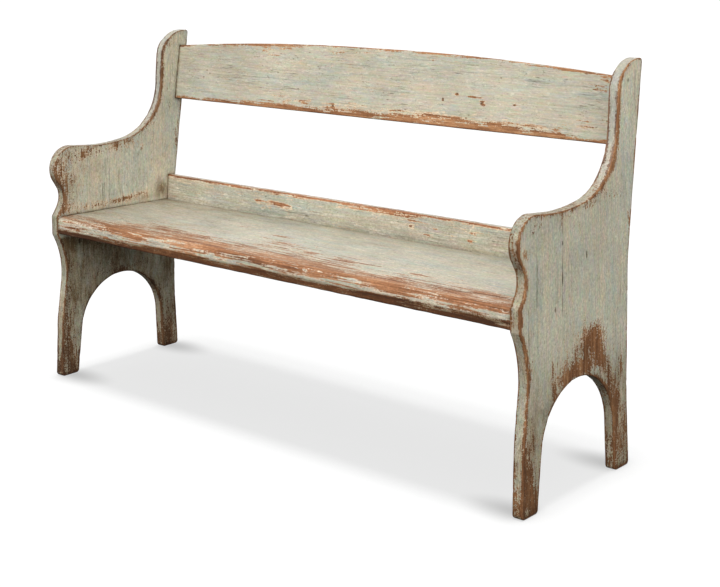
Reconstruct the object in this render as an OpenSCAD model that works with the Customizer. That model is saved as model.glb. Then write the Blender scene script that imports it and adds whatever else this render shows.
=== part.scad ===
// Painted wooden church pew: two shaped end panels, each edge-glued from two boards,
// carry a housed seat board, a lower back rail and an arched crest rail.
// Frame: +X along the bench, -Y towards the front of the seat, +Z up.
// Origin: on the floor, under the middle of the bounding box. Millimetres.

/* [Overall] */
// Length over the outer faces of the two end panels
pew_length = 1549.4; // [1200:0.1:2000]
// Thickness of the end panels
end_thick = 27; // [22:0.5:34]
// Depth of the housings that the seat and rails enter in the end panels
housing = 9; // [5:0.5:11]

/* [End panel: front edge] */
// Front of the foot, front to back position at the floor
foot_front_y = -232; // [-236:0.5:-226]
// Front to back position of the narrowest place on the leg
hollow_y = -209; // [-212:0.5:-206]
// Height of the narrowest place on the leg
hollow_z = 283; // [275:1:290]
// Radius of the hollow under the seat
hollow_r = 216; // [205:1:218]
// Front to back position of the flat edge at the seat
flat_y = -236; // [-239:0.5:-234]
// Height where the flat edge starts
flat_low_z = 388; // [384:0.5:392]
// Height where the flat edge ends
flat_high_z = 438; // [434:0.5:442]
// Radius of the waist between the flat and the arm
waist_r = 52.1; // [44:0.1:56]
// Waist centre, front to back
waist_y = -265.5; // [-270:0.5:-262]
// Waist centre height
waist_z = 488.9; // [486:0.1:492]
// Foremost position of the arm's rounded end
nose_y = -241.3; // [-243:0.1:-239]
// Radius of the arm's rounded end
nose_r = 59.5; // [54:0.5:62]
// Height of the arm end's centre
nose_z = 564.8; // [560:0.1:570]

/* [End panel: arm, sweep and top] */
// Lowest point of the arm, front to back
dip_y = -75.7; // [-80:0.1:-72]
// Height of the lowest point of the arm
dip_z = 616; // [612:0.5:618]
// Radius of the slow dip along the arm
dip_r = 500; // [480:10:505]
// Radius of the sweep from the arm up to the back
sweep_r = 149.5; // [145:0.5:152]
// Sweep centre, front to back
sweep_y = -15.6; // [-18:0.1:-12]
// Sweep centre height
sweep_z = 770.6; // [768:0.1:774]
// Radius of the shoulder where the top turns back
brow_r = 59.9; // [56:0.1:61]
// Shoulder centre, front to back
brow_y = 200.4; // [198:0.1:202]
// Shoulder centre height
brow_z = 842.4; // [840:0.1:845]
// Radius of the crown of the end panel
crown_r = 82.8; // [80:0.1:86]
// Crown centre, front to back
crown_y = 224; // [222:0.1:226]
// Overall height
pew_height = 914.4; // [912:0.1:916]
// Rearmost position, at the top back corner
back_y = 241.3; // [239:0.1:243]
// Radius of the top back corner
corner_r = 8; // [6:0.5:10]

/* [End panel: rear edge and feet] */
// Height of the bend in the rear edge
bend_z = 468; // [460:1:476]
// Front to back position of the bend in the rear edge
bend_y = 181; // [179:0.5:183]
// Radius of the bend in the rear edge
bend_r = 400; // [300:10:420]
// Front to back position of the rear edge above the foot
ankle_y = 174.3; // [173:0.1:176]
// Height of the slight turn above the rear foot
ankle_z = 160; // [140:1:180]
// Rear of the foot at the floor
foot_rear_y = 182; // [179:0.5:185]
// Rear side of the front foot at the floor
front_foot_inner_y = -174.5; // [-180:0.5:-168]
// Front side of the rear foot at the floor
rear_foot_inner_y = 123.5; // [118:0.5:130]
// Radius of the arch between the feet
arch_r = 140; // [125:1:144]
// Arch centre, front to back
arch_y = -21; // [-26:0.5:-16]
// Arch centre height
arch_z = 107; // [95:1:115]
// Position of the glued joint between the two boards of an end panel
glue_y = -82; // [-120:1:-60]

/* [Seat] */
// Thickness of the seat board
seat_thick = 46; // [40:0.5:48]
// Backward slope of the seat, degrees
seat_tilt = 1.3; // [0:0.1:3]
// Height of the seat's lower front edge
seat_z = 392; // [388:0.5:396]
// Radius worked on the top front edge
seat_nose_r = 16; // [6:0.5:22]
// How far the housed ends of the seat stop short of its front face
seat_stop = 15; // [8:1:30]
// Thickness of the cleats under the ends of the seat
cleat_thick = 25; // [20:1:32]
// Height of the cleats
cleat_height = 28; // [22:1:34]
// Length of the cleats
cleat_length = 236; // [160:2:240]

/* [Back rails] */
// Thickness of the rails
rail_thick = 27; // [20:0.5:28]
// Height of the lower back rail, along its own slope
rail_height = 115; // [100:1:130]
// Height of the lower rail's bottom edge
rail_z = 382; // [378:1:384]
// Backward slope of the lower rail, degrees
rail_tilt = 4.5; // [2:0.5:5]
// Rear face of the lower rail at its bottom edge
rail_y = 173.6; // [170:0.1:174]
// Height of the crest rail's lower rear edge
crest_z = 714.5; // [690:0.5:730]
// Height of the crest rail's upper rear edge at the middle
crest_top_z = 895; // [880:0.5:900]
// Half length of the straight middle part of the crest's top edge
crest_flat = 60; // [0:5:200]
// Radius of the crest's arched top edge
crest_r = 8330; // [6000:10:12000]
// Inset of the crest's rear face from the end panels' rear edge
crest_inset = 1; // [0.5:0.1:3]

/* [Hardware] */
// Diameter of the dowels
dowel_d = 10; // [8:1:12]
// Dowel length inside a rail
dowel_rail = 30; // [20:1:40]
// Dowel length inside an end panel, beyond the housing
dowel_end = 12; // [8:1:14]
// Diameter of the screw shanks
screw_d = 4.2; // [3.5:0.1:5]
// Diameter of the screw heads
head_d = 8.4; // [7:0.1:10]
// Diameter of the plugs over the rail screws
plug_d = 10; // [9:1:12]
// Depth of the plugs
plug_depth = 7; // [5:1:9]

/* [Hidden] */

PAINT = [0.66, 0.66, 0.58];
WOOD = [0.62, 0.42, 0.25];
STEEL = [0.6, 0.6, 0.62];

inner_length = pew_length - 2 * end_thick; // clear between the end panels
board_length = inner_length + 2 * housing; // length of the housed boards

// ---- outlines made of circles joined by their common tangents ----
// Each entry is [y, z, radius, turn], walking clockwise: turn is -1 for an outside
// corner and +1 for a hollow, and radius 0 is a plain corner.
arc_step_angle = 5; // largest turn of one arc segment, degrees
arc_step = 14;      // largest length of one arc segment
function leftward(angle) = [-sin(angle), cos(angle)];
// direction of the tangent that leaves circle a and meets circle b
function heading(a, b) =
  let (d = [b[0] - a[0], b[1] - a[1]], offset_r = b[3] * b[2] - a[3] * a[2])
  atan2(d[1], d[0]) - asin(offset_r / norm(d));
function outline(circles) = [
  for (i = [0:len(circles) - 1])
    let (n = len(circles), c = circles[i], r = c[2], turn = c[3],
         start = heading(circles[(i + n - 1) % n], c),
         end = heading(c, circles[(i + 1) % n]),
         raw = turn * (end - start),
         sweep = raw - 360 * floor(raw / 360),
         steps = r == 0 ? 0
           : max(1, ceil(sweep / arc_step_angle), ceil(sweep * PI / 180 * r / arc_step)))
    for (j = [0:steps])
      let (angle = start + (steps == 0 ? 0 : turn * sweep * j / steps))
      [c[0], c[1]] - turn * r * leftward(angle)
];

// ---- end panel outline ----
corner_proud = 0.3; // the corner's circle stands this far outside the crown's
bend_angle = 4.5;   // slope of the rear edge at the bend point
ankle_r = 800;
ankle_rise = 14;    // ankle circle's centre above ankle_z
corner_y = back_y - corner_r;
crown_z = pew_height - crown_r;
corner = [corner_y,
          crown_z + sqrt(pow(crown_r - corner_r + corner_proud, 2) - pow(corner_y - crown_y, 2)),
          corner_r, -1];
bend = [bend_y + bend_r * cos(bend_angle), bend_z - bend_r * sin(bend_angle), bend_r, 1];
END = [
  [foot_front_y, 0, 0, -1],
  [foot_front_y + 405.7, 118.3, 400, -1], // slight swell above the front foot
  [hollow_y - hollow_r, hollow_z, hollow_r, 1],
  [flat_y, flat_low_z, 0, -1],
  [flat_y, flat_high_z, 0, -1],
  [waist_y, waist_z, waist_r, 1],
  [nose_y + nose_r, nose_z, nose_r, -1],
  [dip_y, dip_z + dip_r, dip_r, 1],
  [sweep_y, sweep_z, sweep_r, 1],
  [brow_y, brow_z, brow_r, -1],
  [crown_y, crown_z, crown_r, -1],
  corner,
  bend,
  [ankle_y + ankle_r, ankle_z + ankle_rise, ankle_r, 1],
  [foot_rear_y, 0, 0, -1],
  [rear_foot_inner_y, 0, 0, -1],
  [arch_y, arch_z, arch_r, 1],
  [front_foot_inner_y, 0, 0, -1]
];
// slope of the rear edge above the bend, and a point on it
rake = 270 - (heading(corner, bend) + 360) % 360;
rear_point = [corner[0], corner[1]] + corner_r * leftward(270 - rake);
function rear_edge_y(z) = rear_point[0] - (rear_point[1] - z) * tan(rake);

// turns a drawing in the (Y, Z) plane into a board along X
module along_x(x0, x1)
  translate([x0, 0, 0]) rotate([90, 0, 90]) linear_extrude(x1 - x0) children();
module centred_board(length) along_x(-length / 2, length / 2) children();
// repeats a part of the right end at the left end
module both_ends() {
  children();
  mirror([1, 0, 0]) children();
}

// ---- seat and lower rail ----
seat_under_r = 3;    // radius on the seat's bottom front edge
seat_blank_y = 440;  // seat depth before it is cut off at the lower rail
module seat_frame() translate([flat_y, seat_z]) rotate(-seat_tilt) children();
module rail_frame() translate([rail_y, rail_z]) rotate(-rail_tilt) children();
module seat_place() translate([0, flat_y, seat_z]) rotate([-seat_tilt, 0, 0]) children();
module rail_place() translate([0, rail_y, rail_z]) rotate([-rail_tilt, 0, 0]) children();

// (Y, Z) section of the seat, without the first `stop` at the front
module seat_section(stop) difference() {
  seat_frame() intersection() {
    polygon(outline([
      [seat_under_r, seat_under_r, seat_under_r, -1],
      [seat_nose_r, seat_thick - seat_nose_r, seat_nose_r, -1],
      [seat_blank_y, seat_thick, 0, -1],
      [seat_blank_y, 0, 0, -1]]));
    translate([stop, -5]) square([500, 100]);
  }
  rail_frame() translate([-rail_thick, -100]) square([200, 400]);
}
module seat_body() {
  centred_board(inner_length) seat_section(0);
  centred_board(board_length) seat_section(seat_stop);
}
module rail_body() centred_board(board_length)
  rail_frame() translate([-rail_thick, 0]) square([rail_thick, rail_height]);

// ---- crest rail: cut from a flat board, then leaned back to the end panels' slope ----
crest_height = (crest_top_z - crest_z) / cos(rake);
crest_steps = 36;
function crest_height_at(x) =
  crest_height - crest_r + sqrt(pow(crest_r, 2) - pow(max(0, abs(x) - crest_flat), 2));
module crest_place()
  translate([0, rear_edge_y(crest_z) - crest_inset, crest_z]) rotate([-rake, 0, 0]) children();
module crest_body() crest_place() rotate([90, 0, 0]) linear_extrude(rail_thick)
  polygon(concat(
    [[-board_length / 2, 0]],
    [for (i = [0:crest_steps])
      let (x = -board_length / 2 + i * board_length / crest_steps) [x, crest_height_at(x)]],
    [[board_length / 2, 0]]));

// ---- dowels, at heights above a rail's bottom edge ----
crest_dowel_heights = [34, 77, 120];
rail_dowel_heights = [rail_height * 0.25, rail_height * 0.75];
module dowel_row(heights)
  for (h = heights) translate([board_length / 2 - dowel_rail, -rail_thick / 2, h])
    rotate([0, 90, 0]) cylinder(h = dowel_rail + dowel_end, d = dowel_d, $fn = 32);
module crest_dowel_set() both_ends() crest_place() dowel_row(crest_dowel_heights);
module rail_dowel_set() both_ends() rail_place() dowel_row(rail_dowel_heights);

// ---- wood screws along +Z, head at the origin ----
end_screw_length = 40;
seat_screw_length = 45;
rail_screw_length = 55;
head_rim = 0.5;   // straight rim of the head
head_height = 4;  // rim and countersink
tip_length = 5;
tip_r = 0.4;
slot = 1;         // width and depth of the slot
module screw_blank(length) rotate_extrude($fn = 32)
  polygon([
    [0, 0], [head_d / 2, 0], [head_d / 2, head_rim], [screw_d / 2, head_height],
    [screw_d / 2, length - tip_length], [tip_r, length], [0, length]]);
module screw(length) difference() {
  screw_blank(length);
  translate([-head_d, -slot / 2, -slot]) cube([2 * head_d, slot, 2 * slot]);
}

// ---- seat cleats and their screws ----
cleat_y = 118;       // start of a cleat behind the seat's front face
end_screw_drop = 4;  // end screws below the cleat's middle
end_screw_at = [20, cleat_length / 2, cleat_length - 20]; // along the cleat
seat_screw_at = [
  end_screw_at[0] + 28,
  (end_screw_at[1] + end_screw_at[2]) / 2 - 20,
  end_screw_at[2] - 24
];
module cleat_body() seat_place()
  translate([inner_length / 2 - cleat_thick, cleat_y, -cleat_height])
    cube([cleat_thick, cleat_length, cleat_height]);
// outwards through a cleat into the end panel
module end_screw_place() both_ends() seat_place()
  for (y = end_screw_at)
    translate([inner_length / 2 - cleat_thick, cleat_y + y, -cleat_height / 2 - end_screw_drop])
      rotate([0, 90, 0]) children();
// upwards through a cleat into the seat, between the others
module seat_screw_place() both_ends() seat_place()
  for (y = seat_screw_at)
    translate([inner_length / 2 - cleat_thick / 2, cleat_y + y, -cleat_height]) children();

// ---- plugged screws, forwards from the back of the lower rail into the seat ----
rail_screw_x = [for (i = [0:5]) (i - 2.5) * inner_length / 6.2];
rail_screw_height = 24; // above the rail's bottom edge
module rail_screw_place() rail_place()
  for (x = rail_screw_x) translate([x, 0, rail_screw_height]) rotate([90, 0, 0]) children();
module under_plug() translate([0, 0, plug_depth]) children();
module plug() cylinder(h = plug_depth, d = plug_d, $fn = 32);

// ---- end panels: side is -1 for the left, 1 for the right ----
module end_panel(side) difference() {
  x0 = side > 0 ? inner_length / 2 : -pew_length / 2;
  along_x(x0, x0 + end_thick) polygon(outline(END));
  seat_body();
  rail_body();
  crest_body();
  crest_dowel_set();
  rail_dowel_set();
  end_screw_place() screw_blank(end_screw_length);
}
// the part of an end panel between two front to back positions
module end_board(side, y0, y1) intersection() {
  end_panel(side);
  translate([-1000, y0, -10]) cube([2000, y1 - y0, 1000]);
}
module front_board(side) end_board(side, -400, glue_y);
module rear_board(side) end_board(side, glue_y, 400);

// ---- nodes ----
module left_end_front_board() color(PAINT) front_board(-1);
module left_end_rear_board() color(PAINT) rear_board(-1);
module right_end_front_board() color(PAINT) front_board(1);
module right_end_rear_board() color(PAINT) rear_board(1);
module seat_board() color(PAINT) difference() {
  seat_body();
  seat_screw_place() screw_blank(seat_screw_length);
  rail_screw_place() under_plug() screw_blank(rail_screw_length);
}
module lower_back_rail() color(PAINT) difference() {
  rail_body();
  rail_dowel_set();
  rail_screw_place() {
    plug();
    under_plug() screw_blank(rail_screw_length);
  }
}
module crest_rail() color(PAINT) difference() {
  crest_body();
  crest_dowel_set();
}
module drilled_cleat() difference() {
  cleat_body();
  end_screw_place() screw_blank(end_screw_length);
  seat_screw_place() screw_blank(seat_screw_length);
}
module left_seat_cleat() color(PAINT) mirror([1, 0, 0]) drilled_cleat();
module right_seat_cleat() color(PAINT) drilled_cleat();
module crest_rail_dowels() color(WOOD) crest_dowel_set();
module lower_rail_dowels() color(WOOD) rail_dowel_set();
module cleat_to_end_screws() color(STEEL) end_screw_place() screw(end_screw_length);
module cleat_to_seat_screws() color(STEEL) seat_screw_place() screw(seat_screw_length);
module rail_to_seat_screws() color(STEEL) rail_screw_place() under_plug() screw(rail_screw_length);
module rail_screw_plugs() color(WOOD) rail_screw_place() plug();

left_end_front_board();
left_end_rear_board();
right_end_front_board();
right_end_rear_board();
seat_board();
lower_back_rail();
crest_rail();
left_seat_cleat();
right_seat_cleat();
crest_rail_dowels();
lower_rail_dowels();
cleat_to_end_screws();
cleat_to_seat_screws();
rail_to_seat_screws();
rail_screw_plugs();
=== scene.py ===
import math
import bmesh
import bpy
import numpy as np
from mathutils import Matrix, Vector
from mathutils.geometry import delaunay_2d_cdt


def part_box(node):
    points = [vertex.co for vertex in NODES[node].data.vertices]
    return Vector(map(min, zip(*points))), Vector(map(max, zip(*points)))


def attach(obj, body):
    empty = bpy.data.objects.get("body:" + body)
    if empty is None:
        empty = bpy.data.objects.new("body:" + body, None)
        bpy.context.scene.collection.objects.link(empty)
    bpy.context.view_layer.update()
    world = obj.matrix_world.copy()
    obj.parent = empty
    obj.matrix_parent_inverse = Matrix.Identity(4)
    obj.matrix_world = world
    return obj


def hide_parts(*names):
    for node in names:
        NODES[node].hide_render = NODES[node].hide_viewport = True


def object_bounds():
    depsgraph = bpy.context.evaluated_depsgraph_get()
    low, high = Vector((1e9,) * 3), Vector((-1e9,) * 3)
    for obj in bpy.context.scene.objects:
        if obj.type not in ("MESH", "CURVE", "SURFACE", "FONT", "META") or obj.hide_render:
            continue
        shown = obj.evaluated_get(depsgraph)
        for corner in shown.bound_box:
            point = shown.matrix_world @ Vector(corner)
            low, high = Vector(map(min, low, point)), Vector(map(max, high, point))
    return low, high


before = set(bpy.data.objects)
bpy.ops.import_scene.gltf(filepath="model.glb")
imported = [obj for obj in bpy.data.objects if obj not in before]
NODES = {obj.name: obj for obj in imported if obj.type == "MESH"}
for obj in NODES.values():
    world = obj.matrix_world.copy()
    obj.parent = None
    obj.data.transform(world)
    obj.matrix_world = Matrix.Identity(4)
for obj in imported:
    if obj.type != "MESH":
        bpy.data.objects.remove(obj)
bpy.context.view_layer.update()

SCENE = bpy.context.scene

# ---------------------------------------------------------------- sizes, in mm, read from the frame where it holds them
LO, HI = [np.array(v) * 1000 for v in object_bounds()]
HALF_W = HI[0]
END_T = 1000 * (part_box("right_end_rear_board")[1][0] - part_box("right_end_rear_board")[0][0])
IN_W = HALF_W - END_T                      # half of the clear width
LONG_W = 1000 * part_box("seat_board")[1][0]   # half of the housed boards' length
PEW_H, BACK_Y = HI[2], HI[1]
GLUE_Y = 1000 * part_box("right_end_front_board")[1][1]


# ---------------------------------------------------------------- seeded value noise
def _hash(ix, iy, iz, seed):
    n = (ix * 73856093) ^ (iy * 19349663) ^ (iz * 83492791) ^ np.int64(seed * 2654435761 % 4294967296)
    n = n & 0xFFFFFFFF
    n = ((n ^ (n >> 13)) * 1274126177) & 0xFFFFFFFF
    n = n ^ (n >> 16)
    return (n & 0xFFFF) / 32767.5 - 1.0


def vnoise(p, seed=0):
    """Smooth noise in -1..1 at points p (n, 3)."""
    f = np.floor(p)
    i = f.astype(np.int64)
    t = p - f
    t = t * t * t * (t * (t * 6 - 15) + 10)
    out = 0.0
    for dx in (0, 1):
        wx = t[:, 0] if dx else 1 - t[:, 0]
        for dy in (0, 1):
            wy = t[:, 1] if dy else 1 - t[:, 1]
            for dz in (0, 1):
                wz = t[:, 2] if dz else 1 - t[:, 2]
                out = out + wx * wy * wz * _hash(i[:, 0] + dx, i[:, 1] + dy, i[:, 2] + dz, seed)
    return out


def fbm(p, octaves=4, seed=0, gain=0.5):
    s, a, tot = 0.0, 1.0, 0.0
    for k in range(octaves):
        s = s + a * vnoise(p * 2.0**k + 17.3 * k, seed + k)
        tot += a
        a *= gain
    return s / tot


def smooth01(t):
    t = np.clip(t, 0, 1)
    return t * t * (3 - 2 * t)


# ---------------------------------------------------------------- the end panel's outline: circles joined by common tangents
def _left(a):
    return np.array([-math.sin(a), math.cos(a)])


def outline(circles, step=2.5):
    n = len(circles)
    th = []
    for i in range(n):
        a, b = circles[i], circles[(i + 1) % n]
        d = np.array(b[:2]) - np.array(a[:2])
        k = b[3] * b[2] - a[3] * a[2]
        th.append(math.atan2(d[1], d[0]) - math.asin(max(-1, min(1, k / math.hypot(*d)))))
    pts = []
    for i, (y, z, r, s) in enumerate(circles):
        t0, t1 = th[i - 1], th[i]
        dt = (s * (t1 - t0)) % (2 * math.pi)
        if dt > 6.2:
            dt = 0
        m = 0 if r == 0 else max(1, math.ceil(dt / math.radians(3)))
        for j in range(m + 1):
            t = t0 + (s * dt * j / m if m else 0)
            pts.append(np.array([y, z]) - s * r * _left(t))
    return resample(np.array(pts), step)


def resample(p, step):
    """Even steps along a closed polyline."""
    q = np.vstack([p, p[:1]])
    d = np.hypot(*np.diff(q, axis=0).T)
    keep = np.concatenate([[True], d > 1e-6])
    q, d = q[keep], d[d > 1e-6]
    s = np.concatenate([[0], np.cumsum(d)])
    n = int(round(s[-1] / step))
    u = np.arange(n) * s[-1] / n
    return np.stack([np.interp(u, s, q[:, 0]), np.interp(u, s, q[:, 1])], 1)


FOOT_R, KINK_R = 9.5, 9.0
corner_z = PEW_H - 82.8 + math.sqrt((82.8 - 8 + 0.3) ** 2 - (BACK_Y - 8 - 224) ** 2)


def inside(p, a, b, r):
    """Centre of a fillet of radius r at the corner p between directions to a and b (for convex corners)."""
    p, a, b = map(np.array, (p, a, b))
    u, v = (a - p) / np.linalg.norm(a - p), (b - p) / np.linalg.norm(b - p)
    h = (u + v) / np.linalg.norm(u + v)
    return p + h * r / math.sqrt((1 - u @ v) / 2)


def corner(p, a, b, r):
    c = inside(p, a, b, r)
    return (c[0], c[1], r, -1)


END = [
    corner((-232, 0), (-227, 110), (-174.5, 0), FOOT_R),
    (173.7, 118.3, 400, -1),
    (-425, 283, 216, 1),
    corner((-236, 388), (-222, 362), (-236, 438), KINK_R),
    corner((-236, 438), (-236, 388), (-224, 456), KINK_R),
    (-265.5, 488.9, 52.1, 1),
    (-241.3 + 59.5, 564.8, 59.5, -1),
    (-75.7, 1116, 500, 1),
    (-15.6, 770.6, 149.5, 1),
    (200.4, 842.4, 59.9, -1),
    (224, PEW_H - 82.8, 82.8, -1),
    (BACK_Y - 8, corner_z, 8, -1),
    (181 + 400 * math.cos(math.radians(4.5)), 468 - 400 * math.sin(math.radians(4.5)), 400, 1),
    (974.3, 174, 800, 1),
    corner((182, 0), (178, 85), (123.5, 0), FOOT_R),
    corner((123.5, 0), (182, 0), (119, 100), FOOT_R),
    (-21, 107, 140, 1),
    corner((-174.5, 0), (-168, 100), (-232, 0), FOOT_R),
]
OUT = outline(END)
N_OUT = len(OUT)


def normals2(p):
    """Unit normals into the material of a clockwise closed outline."""
    t = np.roll(p, -1, 0) - np.roll(p, 1, 0)
    t /= np.hypot(*t.T)[:, None]
    return np.stack([t[:, 1], -t[:, 0]], 1)


def nearest_out(p):
    """Distance to, and index of, the nearest outline point."""
    best = np.full(len(p), 1e9)
    at = np.zeros(len(p), int)
    for a in range(0, len(p), 4000):
        q = p[a:a + 4000]
        d = (q[:, None, 0] - OUT[None, :, 0]) ** 2 + (q[:, None, 1] - OUT[None, :, 1]) ** 2
        i = d.argmin(1)
        best[a:a + 4000] = np.sqrt(d[np.arange(len(q)), i])
        at[a:a + 4000] = i
    return best, at


def add_object(name, verts, faces):
    me = bpy.data.meshes.new(name)
    me.from_pydata([tuple(v) for v in np.asarray(verts) * 0.001], [], faces)
    me.update()
    ob = bpy.data.objects.new(name, me)
    SCENE.collection.objects.link(ob)
    return ob


def end_plate(name, side):
    """A whole end panel as one closed mesh, with eased arrises, hand-cut unevenness and dense flat faces. side is -1 or +1."""
    seed = 11 if side > 0 else 47
    o3 = np.column_stack([np.full(N_OUT, side * 3.0), OUT * 0.02])
    nrm = normals2(OUT)
    # hand sawn and rasped edge, never outside the drawn outline
    wob = 0.45 * fbm(o3, 3, seed) - 0.45
    wob[OUT[:, 1] < 12] *= np.clip(OUT[OUT[:, 1] < 12][:, 1] / 12, 0, 1)
    p0 = OUT - nrm * wob[:, None]
    p0[:, 1] = np.maximum(p0[:, 1], 0)
    rho = {}
    for f in (0, 1):
        q = np.column_stack([np.full(N_OUT, 9.0 * f + seed), OUT * 0.03])
        r = 3.1 + 1.0 * fbm(q, 3, seed + 5)
        chips = smooth01((vnoise(q * 2.3 + 40, seed + 9) - 0.45) * 4)
        r = r + 1.3 * chips
        low = OUT[:, 1] < 30
        r[low] = 3.2 + (r[low] - 3.2) * np.clip(OUT[low][:, 1] / 30, 0, 1)
        rho[f] = np.clip(r, 1.2, 5.2)
    x_face = {0: side * HALF_W, 1: side * IN_W}          # 0 outer face, 1 inner face
    K, ROWS = 5, 6
    rings = []
    for f, order in ((0, range(K, -1, -1)), (1, range(0, K + 1))):
        for k in order:
            phi = math.pi / 2 * k / K
            off = rho[f] * (1 - math.cos(phi))
            dep = rho[f] * (1 - math.sin(phi))
            x = x_face[f] - (1 if f == 0 else -1) * side * dep
            rings.append(np.column_stack([x, p0 + nrm * off[:, None]]))
        if f == 0:
            a = rings[-1]
            xb = x_face[1] + side * rho[1]
            for j in range(1, ROWS):
                t = j / ROWS
                r = a.copy()
                r[:, 0] = a[:, 0] * (1 - t) + xb * t
                belly = 0.22 * fbm(np.column_stack([np.full(N_OUT, j * 0.7 + seed), OUT * 0.05]), 2, seed + 3)
                r[:, 1:] += nrm * (belly + 0.22)[:, None] * (OUT[:, 1:2] > 14)
                rings.append(r)
    verts = list(np.vstack(rings))
    faces = []
    flip = side < 0
    for j in range(len(rings) - 1):
        a, b = j * N_OUT, (j + 1) * N_OUT
        for i in range(N_OUT):
            k = (i + 1) % N_OUT
            q = (a + i, a + k, b + k, b + i)
            faces.append(q if not flip else q[::-1])
    # flat faces: constrained triangulation with an even field of inner points
    step = 4.2
    ys = np.arange(LO[1], HI[1], step)
    zs = np.arange(0, PEW_H, step * 0.866)
    yy, zz = np.meshgrid(ys, zs)
    yy = yy + (step / 2) * (np.arange(len(zs)) % 2)[:, None]
    grid = np.column_stack([yy.ravel(), zz.ravel()])
    d, i = nearest_out(grid)
    keep = (d > 8.2) & (((grid - OUT[i]) * nrm[i]).sum(1) > 0)
    grid = grid[keep]
    for f, ring_at in ((0, 0), (1, (len(rings) - 1) * N_OUT)):
        loop = np.array(verts[ring_at:ring_at + N_OUT])[:, 1:]
        pts = [Vector(p) for p in loop] + [Vector(p) for p in grid]
        vo, eo, fo, ov, oe, of_ = delaunay_2d_cdt(pts, [], [list(range(N_OUT))], 1, 1e-5)
        index = {}
        base = len(verts)
        new = []
        for vi, origins in enumerate(ov):
            first = min([o for o in origins], default=-1)
            if 0 <= first < N_OUT:
                index[vi] = ring_at + first
            else:
                index[vi] = base + len(new)
                new.append((vo[vi][0], vo[vi][1]))
        new = np.array(new)
        bump = 0.22 * fbm(np.column_stack([np.full(len(new), 5.0 * f + seed), new * 0.012]), 3, seed + 21) - 0.2
        kdd = nearest_out(new)[0]
        bump *= smooth01((kdd - 5) / 25)
        x = x_face[f] + (1 if f == 0 else -1) * side * bump
        verts.extend(np.column_stack([x, new]))
        tri = np.array([[index[v] for v in t] for t in fo])
        va = np.array(verts)
        a, b, c = (va[tri[:, k]][:, 1:] for k in range(3))
        ccw = (b[:, 0] - a[:, 0]) * (c[:, 1] - a[:, 1]) - (b[:, 1] - a[:, 1]) * (c[:, 0] - a[:, 0]) > 0
        outward_plus = (f == 0) == (side > 0)      # seen from +X, y to the right and z up turns counterclockwise
        flip_them = ccw != outward_plus
        tri[flip_them] = tri[flip_them][:, ::-1]
        faces.extend(map(tuple, tri.tolist()))
    return add_object(name, np.array(verts), faces)


# ---------------------------------------------------------------- boards swept along X
def rounded_section(corners, flat=5.0):
    """Closed section in (v, w) from [(v, w, r, steps)], counterclockwise, rounded corners, flats divided by corner spacing."""
    n = len(corners)
    arcs = []
    for i in range(n):
        p = np.array(corners[i][:2], float)
        r, m = corners[i][2:4]
        a = np.array(corners[i - 1][:2], float)
        b = np.array(corners[(i + 1) % n][:2], float)
        u, v = (a - p) / np.linalg.norm(a - p), (b - p) / np.linalg.norm(b - p)
        half = math.acos(max(-1, min(1, u @ v))) / 2
        c = p + (u + v) / np.linalg.norm(u + v) * r / math.sin(half)
        s, e = p + u * r / math.tan(half), p + v * r / math.tan(half)
        a0, a1 = math.atan2(*(s - c)[::-1]), math.atan2(*(e - c)[::-1])
        da = (a1 - a0 + math.pi) % (2 * math.pi) - math.pi
        arcs.append([c + r * np.array([math.cos(a0 + da * k / m), math.sin(a0 + da * k / m)]) for k in range(m + 1)])
    out = []
    for i in range(n):
        out += arcs[i][:-1]
        p, q = arcs[i][-1], arcs[(i + 1) % n][0]
        span = np.linalg.norm(np.array(corners[i][:2]) - np.array(corners[(i + 1) % n][:2]))
        m = max(1, int(round(span / flat)))
        out += [p + (q - p) * j / m for j in range(m)]
    return np.array(out)


def sweep(name, section, xs, shape, place):
    """section (n, 2) repeated at xs; shape(x, section) may change it; place((m, 3) local) gives the frame's mm."""
    rings = []
    for x in xs:
        s = shape(x, section)
        rings.append(np.column_stack([np.full(len(s), x), s]))
    local = np.vstack(rings)
    n = len(section)
    faces = []
    for j in range(len(xs) - 1):
        a, b = j * n, (j + 1) * n
        for i in range(n):
            k = (i + 1) % n
            faces.append((a + i, a + k, b + k, b + i))
    faces.append(tuple(range(n))[::-1])
    faces.append(tuple((len(xs) - 1) * n + i for i in range(n)))
    ob = add_object(name, place(local), faces)
    return ob


# ---------------------------------------------------------------- where the boards sit
def heading(a, b):
    d = np.array(b[:2]) - np.array(a[:2])
    k = b[3] * b[2] - a[3] * a[2]
    return math.atan2(d[1], d[0]) - math.asin(k / math.hypot(*d))


T_BACK = heading(END[11], END[12])
RAKE = math.radians(270) - T_BACK % (2 * math.pi)
P_BACK = np.array(END[11][:2]) + 8 * _left(T_BACK)
SEAT_T, SEAT_TILT, FLAT_Y, SEAT_Z, SEAT_STOP = 46.0, math.radians(1.3), -236.0, 392.0, 15.0
RAIL_T, RAIL_H, RAIL_TILT, RAIL_Y, RAIL_Z = 27.0, 115.0, math.radians(4.5), 173.6, 382.0
CREST_Z, CREST_TOP, CREST_FLAT, CREST_R = 714.5, 895.0, 60.0, 8330.0
CREST_Y = P_BACK[0] - (P_BACK[1] - CREST_Z) * math.tan(RAKE) - 1.0
CREST_H = (CREST_TOP - CREST_Z) / math.cos(RAKE)


def leaned(y0, z0, t):
    c, s = math.cos(t), math.sin(t)

    def to_world(p):
        return np.column_stack([p[:, 0], y0 + p[:, 1] * c + p[:, 2] * s, z0 - p[:, 1] * s + p[:, 2] * c])

    def to_local(p):
        y, z = p[:, 1] - y0, p[:, 2] - z0
        return np.column_stack([p[:, 0], y * c - z * s, y * s + z * c])

    return to_world, to_local


seat_w, seat_l = leaned(FLAT_Y, SEAT_Z, SEAT_TILT)
rail_w, rail_l = leaned(RAIL_Y, RAIL_Z, RAIL_TILT)
crest_w, crest_l = leaned(CREST_Y, CREST_Z, RAKE)


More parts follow.
